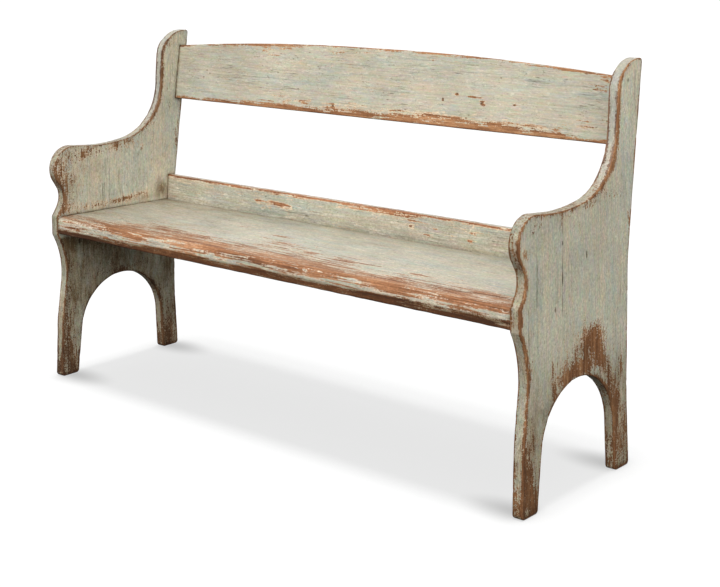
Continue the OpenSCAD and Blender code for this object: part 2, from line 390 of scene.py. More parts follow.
def crest_height(x):
    return CREST_H - CREST_R + math.sqrt(CREST_R**2 - max(0, abs(x) - CREST_FLAT) ** 2)


def rear_v(w, gap=0.0):
    """Where the lower rail's front face crosses the seat, in the seat's own v, at height w."""
    a = rail_l(seat_w(np.array([[0, 0, w], [0, 100, w]])))[:, 1]
    return (-RAIL_T - gap - a[0]) / (a[1] - a[0]) * 100


def stations(step):
    inner = np.linspace(-IN_W, IN_W, int(round(2 * IN_W / step)) + 1)
    return inner


# ---------------------------------------------------------------- seat board
def seat_section(r_top):
    return rounded_section([
        (0, 0, 4.0, 5), (rear_v(0, 0.2), 0, 1.0, 2), (rear_v(SEAT_T, 0.9), SEAT_T, 1.6, 3), (0, SEAT_T, r_top, 9)], 5.5)


SEC_A, SEC_B = seat_section(12.5), seat_section(21.0)


def seat_shape(x, _):
    clamp = abs(x) > IN_W + 0.001
    q = np.array([[x * 0.006, 3.0, 1.0]])
    t = 0.45 + 0.45 * fbm(q, 3, 71)[0]
    s = SEC_A * (1 - t) + SEC_B * t
    n = len(s)
    p = np.column_stack([np.full(n, x * 0.012), s[:, 0] * 0.02, s[:, 1] * 0.02])
    # planed unevenness, and wear dished a little along the front third
    top = smooth01((s[:, 1] - 30) / 10)
    dish = 0.9 * np.exp(-((s[:, 0] - 95) / 90) ** 2) * (0.7 + 0.3 * vnoise(p * 0.3, 5))
    s = s.copy()
    s[:, 1] -= top * (dish + 0.25 * (1 + fbm(p, 3, 72))) * smooth01((372 - s[:, 0]) / 30)
    front = smooth01((18 - s[:, 0]) / 10)
    nick = smooth01((vnoise(np.column_stack([np.full(n, x * 0.035), s[:, 1] * 0.08, np.zeros(n)]), 74) - 0.42) * 3.5)
    s[:, 0] += front * (0.35 * (1 + fbm(p * 2.2, 3, 73)) + 1.1 * nick * smooth01((s[:, 1] - 26) / 10))
    low = smooth01((8 - s[:, 1]) / 6) * front
    s[:, 1] += low * 0.8 * (1 + vnoise(p * 3, 75)) * 0.5
    if clamp:
        s[:, 0] = np.maximum(s[:, 0], SEAT_STOP)
    return s


xs = stations(4.0)
xs = np.concatenate([[-LONG_W, -IN_W - 0.01], xs, [IN_W + 0.01, LONG_W]])
seat = sweep("seat_board_worn", SEC_A, xs, seat_shape, seat_w)


# ---------------------------------------------------------------- rails
def rail_like(name, t, h0, height, to_world, seed, radii_small, radii_big, step=4.0, flat=5.0):
    def sec(r):
        return rounded_section([(-t, 0, r[0], 4), (0, 0, r[1], 4), (0, h0, r[2], 4), (-t, h0, r[3], 4)], flat)

    a, b = sec(radii_small), sec(radii_big)

    def shape(x, _):
        m = np.clip(0.3 + 0.35 * fbm(np.array([[x * 0.008, seed, 0.0]]), 3, seed)[0]
                    + 0.9 * smooth01((vnoise(np.array([[x * 0.03, seed, 3.0]]), seed + 1)[0] - 0.5) * 4), 0, 1)
        s = a * (1 - m) + b * m
        h = height(x)
        w = s[:, 1].copy()
        lo, hi = 8.0, h0 - 8.0
        w = np.where(w < lo, w, np.where(w > hi, w + h - h0, lo + (w - lo) * (h - 16) / (h0 - 16)))
        n = len(s)
        p = np.column_stack([np.full(n, x * 0.01), s[:, 0] * 0.03 + seed, s[:, 1] * 0.02])
        edge = 0.35 * (1 + fbm(np.column_stack([np.full(n, x * 0.02), s * 0.01]), 3, seed + 2))
        w = w - smooth01((w - h + 8) / 8) * edge + smooth01((8 - w) / 8) * edge * 0.8
        v = s[:, 0] + np.where(s[:, 0] < -t / 2, 1, -1) * 0.2 * (1 + fbm(p, 3, seed + 3))
        return np.column_stack([v, w])

    st = np.concatenate([[-LONG_W], stations(step), [LONG_W]])
    return sweep(name, a, st, shape, to_world)


rail = rail_like("lower_back_rail_worn", RAIL_T, RAIL_H, lambda x: RAIL_H, rail_w, 101,
                 (1.6, 2.0, 2.2, 2.4), (2.6, 3.2, 4.6, 5.2))
crest = rail_like("crest_rail_worn", RAIL_T, CREST_H, crest_height, crest_w, 131,
                  (2.0, 2.0, 2.4, 2.8), (4.2, 3.6, 4.8, 5.4))


# ---------------------------------------------------------------- end panels: housings cut, then parted at the glue line
def prism(name, poly, x0, x1):
    n = len(poly)
    v = [(x0, p[0], p[1]) for p in poly] + [(x1, p[0], p[1]) for p in poly]
    f = [tuple(range(n))[::-1], tuple(range(n, 2 * n))]
    f += [(i, (i + 1) % n, n + (i + 1) % n, n + i) for i in range(n)]
    return add_object(name, np.array(v), f)


def cut(ob, cutters):
    for c in cutters:
        m = ob.modifiers.new("cut", "BOOLEAN")
        m.operation, m.solver, m.object = "DIFFERENCE", "EXACT", c
    dg = bpy.context.evaluated_depsgraph_get()
    me = bpy.data.meshes.new_from_object(ob.evaluated_get(dg), depsgraph=dg)
    ob.modifiers.clear()
    old = ob.data
    ob.data = me
    bpy.data.meshes.remove(old)


def drop(*obs):
    for o in obs:
        me = o.data
        bpy.data.objects.remove(o)
        bpy.data.meshes.remove(me)


def world_yz(local_vw, to_world):
    p = to_world(np.column_stack([np.zeros(len(local_vw)), local_vw]))
    return [tuple(q[1:]) for q in p]


g = 0.12
def cutters(side):
    x0, x1 = sorted((side * (IN_W - 4), side * (LONG_W + 0.05)))
    seat_poly = world_yz(np.array([(SEAT_STOP - g, -g), (rear_v(0) + 6, -g), (rear_v(SEAT_T) + 6, SEAT_T + g - 0.3), (SEAT_STOP - g, SEAT_T + g - 0.3)]), seat_w)
    rail_poly = world_yz(np.array([(-RAIL_T - g, -g), (20, -g), (20, RAIL_H + g - 0.3), (-RAIL_T - g, RAIL_H + g - 0.3)]), rail_w)
    he = crest_height(IN_W)
    crest_poly = world_yz(np.array([(-RAIL_T - g + 0.2, -g), (20, -g), (20, he + g - 0.5), (-RAIL_T - g + 0.2, he + g - 0.5)]), crest_w)
    return [prism("c1", seat_poly, x0, x1), prism("c2", rail_poly, x0, x1), prism("c3", crest_poly, x0, x1)]


def part_at_glue(ob, name_front, name_rear):
    out = []
    for name, keep_rear in ((name_front, False), (name_rear, True)):
        bm = bmesh.new()
        bm.from_mesh(ob.data)
        geom = bm.verts[:] + bm.edges[:] + bm.faces[:]
        cutres = bmesh.ops.bisect_plane(bm, geom=geom, dist=1e-7, plane_co=(0, GLUE_Y * 0.001, 0), plane_no=(0, 1, 0),
                                        clear_inner=keep_rear, clear_outer=not keep_rear)
        edges = [e for e in bm.edges if e.is_boundary]
        bmesh.ops.holes_fill(bm, edges=edges, sides=0)
        bmesh.ops.recalc_face_normals(bm, faces=bm.faces[:])
        me = bpy.data.meshes.new(name)
        bm.to_mesh(me)
        bm.free()
        o = bpy.data.objects.new(name, me)
        SCENE.collection.objects.link(o)
        out.append(o)
    drop(ob)
    return out


ends = {}
for side, word in ((-1, "left"), (1, "right")):
    plate = end_plate(word + "_end_raw", side)
    cs = cutters(side)
    cut(plate, cs + [NODES["crest_rail_dowels"], NODES["lower_rail_dowels"], NODES["cleat_to_end_screws"]])
    drop(*cs)
    ends[word] = part_at_glue(plate, word + "_end_front_worn", word + "_end_rear_worn")

PLUG_X = (2 * IN_W / 6.2) * (np.arange(6) - 2.5)


def ring_points(cx, v, r, seg):
    a = 2 * math.pi * np.arange(seg) / seg
    return np.column_stack([cx + r * np.cos(a), np.full(seg, v), 24.0 + r * np.sin(a)])


holes = []
for cx in PLUG_X:
    a, b = rail_w(ring_points(cx, 4.0, 5.0, 40)), rail_w(ring_points(cx, -7.3, 5.0, 40))
    f = [tuple(range(40)), tuple(range(40, 80))[::-1]] + [(i, i + 40, (i + 1) % 40 + 40, (i + 1) % 40) for i in range(40)]
    holes.append(add_object("hole", np.vstack([a, b]), f))
cut(rail, holes + [NODES["rail_to_seat_screws"], NODES["lower_rail_dowels"]])
drop(*holes)
cut(crest, [NODES["crest_rail_dowels"]])
cut(seat, [NODES["rail_to_seat_screws"], NODES["cleat_to_seat_screws"]])

# plugs over the rail screws: slightly proud discs with a softened rim
plug_verts, plug_faces = [], []
SEG = 28
for cx in PLUG_X:
    rows = []
    for r, v in [(0.0, 0.30), (3.2, 0.34), (4.2, 0.30), (4.62, 0.12), (4.8, -0.3), (4.85, -6.9), (0.0, -6.9)]:
        start = len(plug_verts)
        if r == 0:
            rows.append([start] * SEG)
            plug_verts.append((cx, v, 24.0))
        else:
            rows.append(list(range(start, start + SEG)))
            plug_verts.extend(ring_points(cx, v, r, SEG))
    for a, b in zip(rows, rows[1:]):
        for i in range(SEG):
            j = (i + 1) % SEG
            q = [a[i], a[j], b[j], b[i]]
            plug_faces.append(tuple(dict.fromkeys(q)))
plugs = add_object("rail_plugs_painted", rail_w(np.array(plug_verts)), plug_faces)
for ob in [seat, rail, crest, plugs]:
    bm = bmesh.new()
    bm.from_mesh(ob.data)
    bmesh.ops.recalc_face_normals(bm, faces=bm.faces[:])
    bm.to_mesh(ob.data)
    bm.free()


# ---------------------------------------------------------------- wear, undercoat, dirt and painted shade, stored on the vertices
# wear: 0 sound paint, 0.5 the edge of bare wood, 1 fully bare. cream: the same for the undercoat. The third value, dirt
# with painted shade: 0 to 1.
def coords(ob):
    co = np.empty(len(ob.data.vertices) * 3, np.float32)
    ob.data.vertices.foreach_get("co", co)
    return co.reshape(-1, 3).astype(float) * 1000


def store(ob, **values):
    for k, v in values.items():
        at = ob.data.attributes.get(k) or ob.data.attributes.new(k, "FLOAT", "POINT")
        at.data.foreach_set("value", np.clip(v, 0, 1).astype(np.float32))


def shepard(p, anchors, power=3.0):
    """Blends the anchors' values by distance. anchors: rows of [a, b, value]."""
    an = np.array(anchors, float)
    num = np.zeros(len(p))
    den = np.zeros(len(p))
    for a, b, v in an:
        k = 1.0 / (np.hypot(p[:, 0] - a, p[:, 1] - b) + 4.0) ** power
        num += k * v
        den += k
    return num / den


def blobs(p, rows):
    """Sum of soft spots: rows of [a, b, spread_a, spread_b, strength]."""
    out = np.zeros(len(p))
    for a, b, sa, sb, k in rows:
        out += k * np.exp(-((p[:, 0] - a) / sa) ** 2 - ((p[:, 1] - b) / sb) ** 2)
    return out


# width of the rubbed line along an end panel's arrises, at places (y, z)
ARRIS = [
    (-230, 20, 17), (-228, 90, 11), (-222, 170, 9), (-212, 240, 7), (-209, 283, 8), (-214, 320, 11), (-224, 355, 10),
    (-236, 390, 9), (-236, 415, 13), (-236, 438, 9), (-224, 458, 9), (-212, 490, 9), (-222, 516, 8), (-238, 546, 10),
    (-241, 575, 9), (-232, 596, 5), (-210, 618, 4.4), (-170, 622, 4.6), (-130, 619, 4.6), (-80, 616, 5.2), (-30, 618, 5),
    (20, 627, 4), (50, 639, 6), (80, 656, 9), (105, 681, 15), (120, 707, 17), (130, 743, 13), (135, 780, 12),
    (137, 812, 12), (140, 846, 11), (150, 874, 8), (170, 895, 4), (200, 911, 3), (225, 914, 3), (240, 905, 3.4),
    (236, 860, 3.4), (222, 760, 3.2), (205, 640, 4), (190, 540, 6), (183, 490, 5), (178, 430, 4), (177, 340, 4.5),
    (175, 260, 6), (174, 180, 4.5), (176, 110, 6), (180, 50, 10), (181, 10, 16), (150, 2, 9), (123, 10, 15),
    (121, 60, 12), (119, 110, 10), (112, 150, 13), (95, 188, 13), (62, 219, 9), (25, 239, 6), (-21, 247, 8),
    (-65, 240, 9), (-105, 217, 10), (-130, 193, 9), (-150, 160, 9), (-160, 130, 8), (-168, 80, 7), (-173, 20, 13),
    (-200, 2, 9)]
OUTER_WEAR = [  # y, z, spreads, strength
    (0, 330, 120, 46, 0.42), (150, 150, 40, 120, 0.45), (-205, 100, 30, 120, 0.72), (-195, 40, 40, 40, 0.4), (-215, 560, 20, 40, 0.35), (20, 622, 170, 16, 0.6), (-190, 610, 40, 14, 0.4),
    (115, 700, 24, 70, 0.45), (-100, 250, 40, 50, 0.35),
    (-58, 270, 34, 22, 0.62), (-28, 284, 24, 32, 0.72), (66, 296, 16, 40, 0.8), (-84, 248, 20, 20, 0.75),
    (8, 296, 17, 44, 1.5), (34, 306, 12, 36, 1.3), (54, 286, 12, 44, 1.5), (76, 262, 12, 38, 1.3), (94, 235, 10, 34, 1.1),
    (26, 262, 44, 16, 1.0), (-22, 262, 30, 15, 1.3), (-66, 256, 20, 14, 1.0), (-72, 284, 6, 22, 0.7),
    (-112, 236, 8, 26, 1.1), (-142, 190, 9, 22, 0.8), (106, 200, 14, 34, 1.3), (130, 150, 14, 52, 1.4), (122, 90, 10, 60, 1.0),
    (-84, 596, 4, 26, 1.2), (-165, 598, 9, 9, 1.0), (-218, 548, 9, 10, 1.0), (-110, 412, 4, 9, 1.0),
    (-190, 590, 6, 9, 0.75), (-60, 602, 12, 7, 0.9), (10, 612, 20, 7, 0.9), (70, 640, 14, 9, 0.9),
    (-196, 300, 7, 28, 0.95), (-120, 285, 4, 24, 0.85), (40, 335, 22, 18, 0.7), (148, 236, 9, 34, 0.95),
    (108, 690, 10, 16, 0.95), (124, 745, 9, 16, 0.9), (-214, 130, 8, 60, 0.9), (-205, 50, 22, 46, 1.15),
    (150, 40, 20, 46, 1.15), (165, 108, 9, 30, 0.8), (-188, 20, 16, 24, 1.0), (180, 560, 5, 40, 0.9), (-185, 430, 6, 30, 0.5)]
OUTER_CREAM = [
    (100, 672, 18, 22, 0.9), (85, 655, 20, 14, 0.9), (0, 335, 60, 20, 0.75), (110, 255, 16, 40, 0.7), (-100, 262, 24, 20, 0.7),
    (-75, 595, 22, 16, 0.8), (170, 720, 12, 60, 0.45), (-225, 555, 14, 22, 0.8), (60, 480, 20, 60, 0.25), (-222, 420, 12, 40, 0.75),
    (150, 90, 20, 60, 0.85), (-200, 110, 22, 70, 0.7), (190, 640, 10, 80, 0.5), (130, 330, 20, 60, 0.35), (-145, 260, 18, 40, 0.4)]
INNER_WEAR = [
    (-140, 600, 60, 20, 0.62), (-20, 602, 60, 22, 0.6), (60, 634, 50, 22, 0.55), (-40, 451, 140, 12, 0.50), (-210, 540, 30, 80, 0.85), (-150, 540, 60, 60, 0.3),
    (-205, 466, 30, 24, 0.65), (110, 700, 26, 50, 0.5), (-30, 280, 90, 40, 0.45), (-200, 120, 28, 130, 0.75), (150, 100, 30, 120, 0.62),
    (-148, 598, 8, 13, 0.85), (-30, 609, 14, 7, 0.85), (10, 615, 20, 7, 0.85), (-118, 609, 12, 7, 0.75), (-30, 452, 30, 6, 0.9),
    (10, 455, 26, 5, 0.9), (52, 460, 22, 6, 0.9), (-110, 449, 14, 6, 0.9), (-140, 452, 10, 6, 0.8), (-150, 330, 8, 20, 0.8), (-20, 257, 60, 7, 0.75), (-218, 480, 9, 24, 1.2), (-214, 452, 12, 9, 1.15), (-170, 438, 8, 5, 0.9),
    (-222, 560, 8, 22, 1.0), (-228, 590, 8, 12, 1.0), (80, 655, 14, 9, 1.0), (100, 690, 8, 20, 0.8), (134, 800, 8, 60, 1.0),
    (188, 590, 7, 34, 1.35), (196, 640, 5, 26, 0.9), (-196, 300, 14, 12, 1.1), (-205, 240, 9, 40, 0.7), (-100, 262, 20, 16, 0.75),
    (60, 262, 30, 16, 0.7), (-210, 120, 9, 60, 0.7), (-200, 30, 30, 40, 1.05), (150, 36, 24, 46, 1.15), (112, 180, 16, 30, 0.8),
    (60, 590, 8, 10, 0.8), (48, 572, 4, 8, 0.7), (-20, 560, 3, 5, 0.8), (166, 700, 6, 30, 0.7), (170, 875, 16, 12, 0.7)]
INNER_CREAM = [
    (-60, 448, 140, 15, 1.0), (-30, 452, 110, 13, 1.35), (60, 466, 60, 12, 0.75), (-150, 462, 40, 10, 0.8), (-215, 470, 18, 26, 0.9), (-222, 575, 18, 40, 0.9),
    (-140, 590, 30, 26, 0.75), (20, 604, 60, 16, 0.7), (146, 860, 18, 60, 0.6), (-180, 540, 30, 40, 0.5), (120, 600, 20, 40, 0.4),
    (180, 600, 16, 50, 0.6), (150, 50, 24, 60, 0.7), (-200, 60, 26, 70, 0.6)]


def wear_end(ob, side):
    p = coords(ob)
    yz = p[:, 1:]
    d_out, at = nearest_out(yz)
    for k in (-1, 0):     # distance to the two outline steps beside the nearest point
        a, b = OUT[(at + k) % N_OUT], OUT[(at + k + 1) % N_OUT]
        ab = b - a
        t = np.clip(((yz - a) * ab).sum(1) / (ab**2).sum(1), 0, 1)
        d_out = np.minimum(d_out, np.hypot(*(yz - a - ab * t[:, None]).T))
    depth_o = np.abs(p[:, 0] - side * HALF_W)
    depth_i = np.abs(p[:, 0] - side * IN_W)
    width = shepard(yz, ARRIS)
    width = width * np.interp(p[:, 2], [100, 180, 600, 660], [1.0, 0.8, 0.8, 1.0])
    q = np.column_stack([p[:, 0] * 0.02 + 7 * side, yz * 0.02])
    vary = 1 + 0.35 * fbm(q, 3, 201)
    out = []
    for depth, rows, k in ((depth_o, OUTER_WEAR, 1.0), (depth_i, INNER_WEAR, 0.8)):
        edge = 1.65 - 1.65 * np.maximum(d_out, np.where(depth > 4, 4 + (depth - 4) * 2.4, depth)) / (0.86 * width * k * vary)
        face = depth < 2.5
        shift = yz + (0 if (side > 0) == (rows is OUTER_WEAR) else 1) * 6.0 * np.column_stack([vnoise(q * 0.4, 9), vnoise(q * 0.4, 10)])
        patch = np.where(face, -1 + blobs(shift, rows), -1.0)
        out.append(np.maximum(edge, patch))
    # the cut surfaces between the arrises: bare at the feet, rubbed inside the arch and along the front of the arm
    mid = (depth_o > 2.5) & (depth_i > 2.5)
    band = -1 + blobs(yz, [(-232, 30, 20, 40, 1.3), (182, 25, 20, 45, 1.2), (122, 30, 14, 60, 1.1), (-172, 25, 14, 40, 1.1),
                           (-21, 240, 90, 26, 0.75), (100, 180, 24, 40, 1.0), (-236, 412, 12, 30, 0.5), (-220, 300, 20, 40, 0.4),
                           (-238, 560, 18, 60, 0.72 if side > 0 else 1.0), (-222, 500, 16, 40, 0.72), (60, 650, 60, 30, 0.62), (-190, 625, 60, 16, 0.74), (-60, 620, 80, 14, 0.68), (115, 690, 24, 30, 0.35), (-225, 150, 14, 90, 0.45), (180, 300, 14, 200, 0.55)])
    band = np.where(mid & (d_out < 2.0), band, -1.0)
    wear = np.clip(np.maximum.reduce([out[0], out[1], band]), -1, 1) * 0.5 + 0.5
    on_out = depth_o < 2.5
    cream = np.where(on_out, blobs(yz, OUTER_CREAM), np.where(depth_i < 2.5, blobs(yz, INNER_CREAM), 0.0))
    cream = np.where(mid, blobs(yz, [(-236, 560, 20, 50, 0.4), (120, 720, 40, 90, 0.1), (60, 640, 70, 24, 0.35), (-190, 620, 60, 14, 0.45),
                                     (-215, 470, 24, 40, 0.4), (-230, 60, 20, 60, 0.35), (200, 905, 60, 14, 0.15)]), cream)
    # painted shade and dirt where boards meet the inner faces, painted shade under the seat, darker towards the bottom,
    # dirt at the feet
    s, r, c = seat_l(p), rail_l(p), crest_l(p)
    inner = depth_i < 12
    top_gap = s[:, 2] - SEAT_T
    # painted shade and dirt in the corner along the seat's top, a thin dark line with a soft fringe
    dirt = np.where(inner & (s[:, 1] > -2) & (s[:, 1] < 400), (0.55 * np.exp(-np.abs(top_gap) / 2.5) + 0.2 * np.exp(-np.abs(top_gap) / 25)) * (top_gap > -2), 0)
    # painted shade and dirt along the lower rail and the crest rail
    rail_gap = np.maximum(-RAIL_T - r[:, 1], 0)
    dirt = np.maximum(dirt, np.where(inner & (r[:, 2] > 40) & (r[:, 2] < RAIL_H + 2), np.exp(-rail_gap / 7) * 0.7, 0))
    dirt = np.maximum(dirt, np.where(inner & (r[:, 2] >= RAIL_H) & (r[:, 2] < RAIL_H + 20) & (r[:, 1] > -RAIL_T), np.exp(-(r[:, 2] - RAIL_H) / 6) * 0.6, 0))
    cg = np.maximum.reduce([-RAIL_T - c[:, 1], -c[:, 2], c[:, 2] - crest_height(IN_W)])
    dirt = np.maximum(dirt, np.where(inner & (cg < 40), np.exp(-np.maximum(cg, 0) / 3.5) * 0.7, 0))
    # painted shade under the seat on the inner faces, deepest just below it
    under = smooth01((386 - p[:, 2]) / 12) * smooth01((p[:, 2] - 60) / 160) * (depth_i < 2.5) * (yz[:, 0] > -228)
    dirt = np.maximum(dirt, (0.72 + 0.28 * smooth01((p[:, 2] - 320) / 55)) * under)
    dirt = np.maximum(dirt, 0.88 * np.exp(-p[:, 2] / 80))
    # darker towards the bottom
    dirt = np.maximum(dirt, np.where(depth_i < 2.5, 0.52, 0.50) * smooth01((355 - p[:, 2]) / 180))
    dirt = np.maximum(dirt, (depth_o < 2.5) * blobs(yz, [(0, 292, 58, 34, 0.30), (110, 200, 24, 60, 0.5), (-120, 225, 30, 24, 0.4)]))
    dirt = np.maximum(dirt, (depth_i < 2.5) * blobs(yz, [(128, 462, 26, 26, 0.8), (60, 446, 60, 8, 0.35), (-120, 562, 50, 40, 0.22), (-40, 540, 70, 50, 0.08), (-185, 510, 30, 40, 0.26)]))
    dirt = np.maximum(dirt, np.where(mid & (yz[:, 1] < 252) & (yz[:, 1] > 20) & (np.abs(yz[:, 0] + 22) < 150), 0.5, 0))
    dirt = np.maximum(dirt, np.where(mid & (yz[:, 0] < -200) & (yz[:, 1] < 450), 0.42, 0))
    dirt = np.maximum(dirt, np.where(mid & (yz[:, 1] > 450), np.interp(p[:, 2], [450, 600, 640, 700], [0.48, 0.42, 0.22, 0.08]), 0))
    # grimy arrises
    arris = np.minimum(np.hypot(d_out, depth_o), np.hypot(d_out, depth_i))
    dirt = np.maximum(dirt, 0.46 * np.exp(-arris / 6))
    store(ob, wear=wear, cream=cream, dirt=dirt)


for side, word in ((-1, "left"), (1, "right")):
    for o in ends[word]:
        wear_end(o, side)


def corner_edge(v, w, corners):
    """1 at a section corner falling to 0 at its width, over corners of (v, w, width)."""
    e = np.full(len(v), -1.0)
    for a, b, width in corners:
        e = np.maximum(e, 1 - np.hypot(v - a, w - b) / width)
    return e


def wear_seat():
    p = coords(seat)
    L = seat_l(p)
    x, v, w = L.T
    q = np.column_stack([x * 0.01, v * 0.02, w * 0.02])
    top = w > SEAT_T - 6
    # the front third is rubbed bare along the whole length, in streaks that thin out backwards
    ramp = np.interp(v, [0, 14, 30, 48, 66, 95, 140, 190, 260], [0.55, 0.78, 0.62, 0.36, 0.0, -0.48, -0.85, -1.15, -1.5])
    ramp = ramp + 0.25 * vnoise(np.column_stack([x * 0.006, v * 0.01, np.zeros(len(x))]), 31)
    ramp -= 0.5 * smooth01((x - 560) / 160) * smooth01((v - 10) / 30) + 0.80 * smooth01((-x - 470) / 170)
    more = blobs(np.column_stack([x, L[:, 1] - 236]), [
        (-110, -20, 55, 9, 1.25), (-40, -86, 75, 12, 0.95), (-120, -60, 90, 10, 0.6), (-85, -118, 22, 12, 0.6), (85, -120, 22, 10, 0.9),
        (180, -122, 60, 9, 0.75), (270, -118, 30, 12, 0.85), (-630, -134, 40, 8, 0.85), (-640, -115, 20, 6, 0.6),
        (-300, -160, 110, 12, 0.5), (410, -120, 24, 8, 0.75), (400, -140, 40, 10, 0.6), (620, -165, 34, 9, 1.15), (60, -60, 60, 14, 0.5),
        (160, -30, 40, 12, 0.4), (100, -160, 60, 9, 0.5), (-200, -190, 120, 12, 0.4), (-500, -180, 140, 10, 0.3), (-600, -205, 120, 12, 0.45), (-300, 147, 50, 4, 1.2), (0, 147, 30, 4, 1.0),
        (250, 147, 40, 4, 1.1)])
    e_top = ramp + more
    # front face below the rounded edge keeps its paint, the lower arris is rubbed
    e_front = np.interp(w + 4 * smooth01((-x - 350) / 200), [0, 7, 10, 15, 22, 29, 36, 46], [1.4, 1.3, 1.0, 0.25, -0.42, -0.1, 0.45, 0.7])
    e_front = e_front + 0.2 * fbm(q, 3, 33) - 1.1 * smooth01((-x - 470) / 170) * smooth01((w - 24) / 10)
    e = np.where(v < 10, np.where(w > 34, np.maximum(e_front, np.minimum(e_top, 0.95)), e_front), np.where(top, e_top, -1.0))
    e = np.maximum(e, corner_edge(v, w, [(0, 0, 8)]))
    e = np.where((w < 6) & (v > 8), np.maximum(-0.9 + 0.5 * np.exp(-v / 12), -1), e)
    cream = np.where(top, np.interp(v, [0, 30, 90, 160, 260], [0.9, 0.8, 0.6, 0.35, 0.12]), np.where(v < 10, 0.6, 0.1))
    end_gap = IN_W - np.abs(x)
    # dark lines at the joints with the ends and the rail, painted shade spreading from them and growing towards the
    # left end, darker underside, painted shade down the lower front face
    dirt = np.where(top, np.maximum(np.exp(-end_gap / 3) * 0.8, np.exp(-(rear_v(SEAT_T) - v) / 2.2) * 0.9), 0.0)
    dirt = np.maximum(dirt, np.where(top, 0.30 * np.exp(-(rear_v(SEAT_T) - v) / 34) + 0.2 * np.exp(-end_gap / 60) + 0.22 * smooth01((-x - 60) / 420), 0))
    dirt = np.maximum(dirt, np.where(w < 3, 0.75, 0))
    dirt = np.maximum(dirt, np.where((v < 8) & (w < 24), 1.0 * smooth01((24 - w - 5 * smooth01((-x - 350) / 200)) / 10), 0))
    dirt = np.maximum(dirt, np.where(v < 8, np.exp(-end_gap / 5) * 0.7, 0))
    store(seat, wear=np.clip(e, -1, 1) * 0.5 + 0.5, cream=cream, dirt=dirt)


wear_seat()


def wear_rail():
    p = coords(rail)
    x, v, w = rail_l(p).T
    q = np.column_stack([x * 0.012, v * 0.02, w * 0.02])
    line = 4.6 * (1 + 0.4 * fbm(q, 3, 41)) + 7 * np.exp(-((x - 60) / 120) ** 2) * smooth01(vnoise(q * 2, 42) + 0.4)
    e = corner_edge(v, w, [(-RAIL_T, RAIL_H, 1.0)])
    d = np.hypot(v + RAIL_T, w - RAIL_H)
    e = np.maximum(1.45 - 1.45 * d / line, 1 - np.hypot(v, w - RAIL_H) / 5)
    e = np.maximum(e, 1 - np.hypot(v, w) / 5)
    e = np.where((w > RAIL_H - 3) & (v > -RAIL_T + 2) & (v < -2), np.maximum(e, -0.25 + 0.5 * fbm(q, 3, 44)), e)
    front = v < -RAIL_T + 4
    back = v > -4
    e = np.maximum(e, np.where(front, -1 + blobs(np.column_stack([x, w + 382]), [
        (-305, 463, 40, 7, 1.5), (-370, 463, 16, 5, 1.2), (-270, 462, 30, 4, 1.1), (-455, 474, 8, 6, 1.0), (-440, 460, 18, 3, 0.9),
        (168, 464, 9, 4, 1.4), (172, 482, 22, 5, 1.2), (225, 447, 20, 4, 1.2), (245, 466, 10, 4, 0.9), (350, 452, 8, 4, 1.5),
        (362, 470, 14, 4, 1.0), (40, 487, 70, 6, 1.3), (150, 488, 40, 7, 1.1), (-80, 488, 60, 4, 0.7), (-330, 449, 18, 3, 0.7)]), -1.0))
    e = np.maximum(e, np.where(back, -1 + blobs(np.column_stack([x, w]), [
        (-500, 96, 90, 10, 1.1), (-120, 20, 120, 8, 0.9), (300, 100, 70, 8, 1.1), (520, 60, 40, 14, 0.8), (0, 108, 200, 5, 0.9)]), -1.0))
    cream = np.where(front, np.interp(w, [46, 60, 90, 115], [0.25, 0.35, 0.6, 0.9]) + blobs(np.column_stack([x, w]), [(-305, 80, 70, 14, 0.7)]), 0.45)
    end_gap = IN_W - np.abs(x)
    seat_line = 47.0
    # dark line along the seat and at the ends, painted shade above the seat line, over the hidden lower front and
    # underside, and growing towards the left end
    dirt = np.where(front, np.maximum(np.exp(-np.abs(w - seat_line) / 2.2) * 0.85, np.exp(-end_gap / 4) * 0.75), np.exp(-end_gap / 6) * 0.5)
    dirt = np.maximum(dirt, np.where(front & (w > seat_line), 0.28 * np.exp(-(w - seat_line) / 20), 0))
    dirt = np.maximum(dirt, np.where(front & (w < seat_line - 3), 0.9, 0))
    dirt = np.maximum(dirt, np.where(w < 3, 0.6, 0))
    dirt = np.maximum(dirt, np.where(front, 0.12 * smooth01((-x - 50) / 450), 0))
    for cx in PLUG_X:
        dirt = np.maximum(dirt, np.where(back, np.exp(-np.abs(np.hypot(x - cx, w - 24) - 5.0) / 1.5) * 0.8, 0))
    store(rail, wear=np.clip(e, -1, 1) * 0.5 + 0.5, cream=cream, dirt=dirt)


wear_rail()


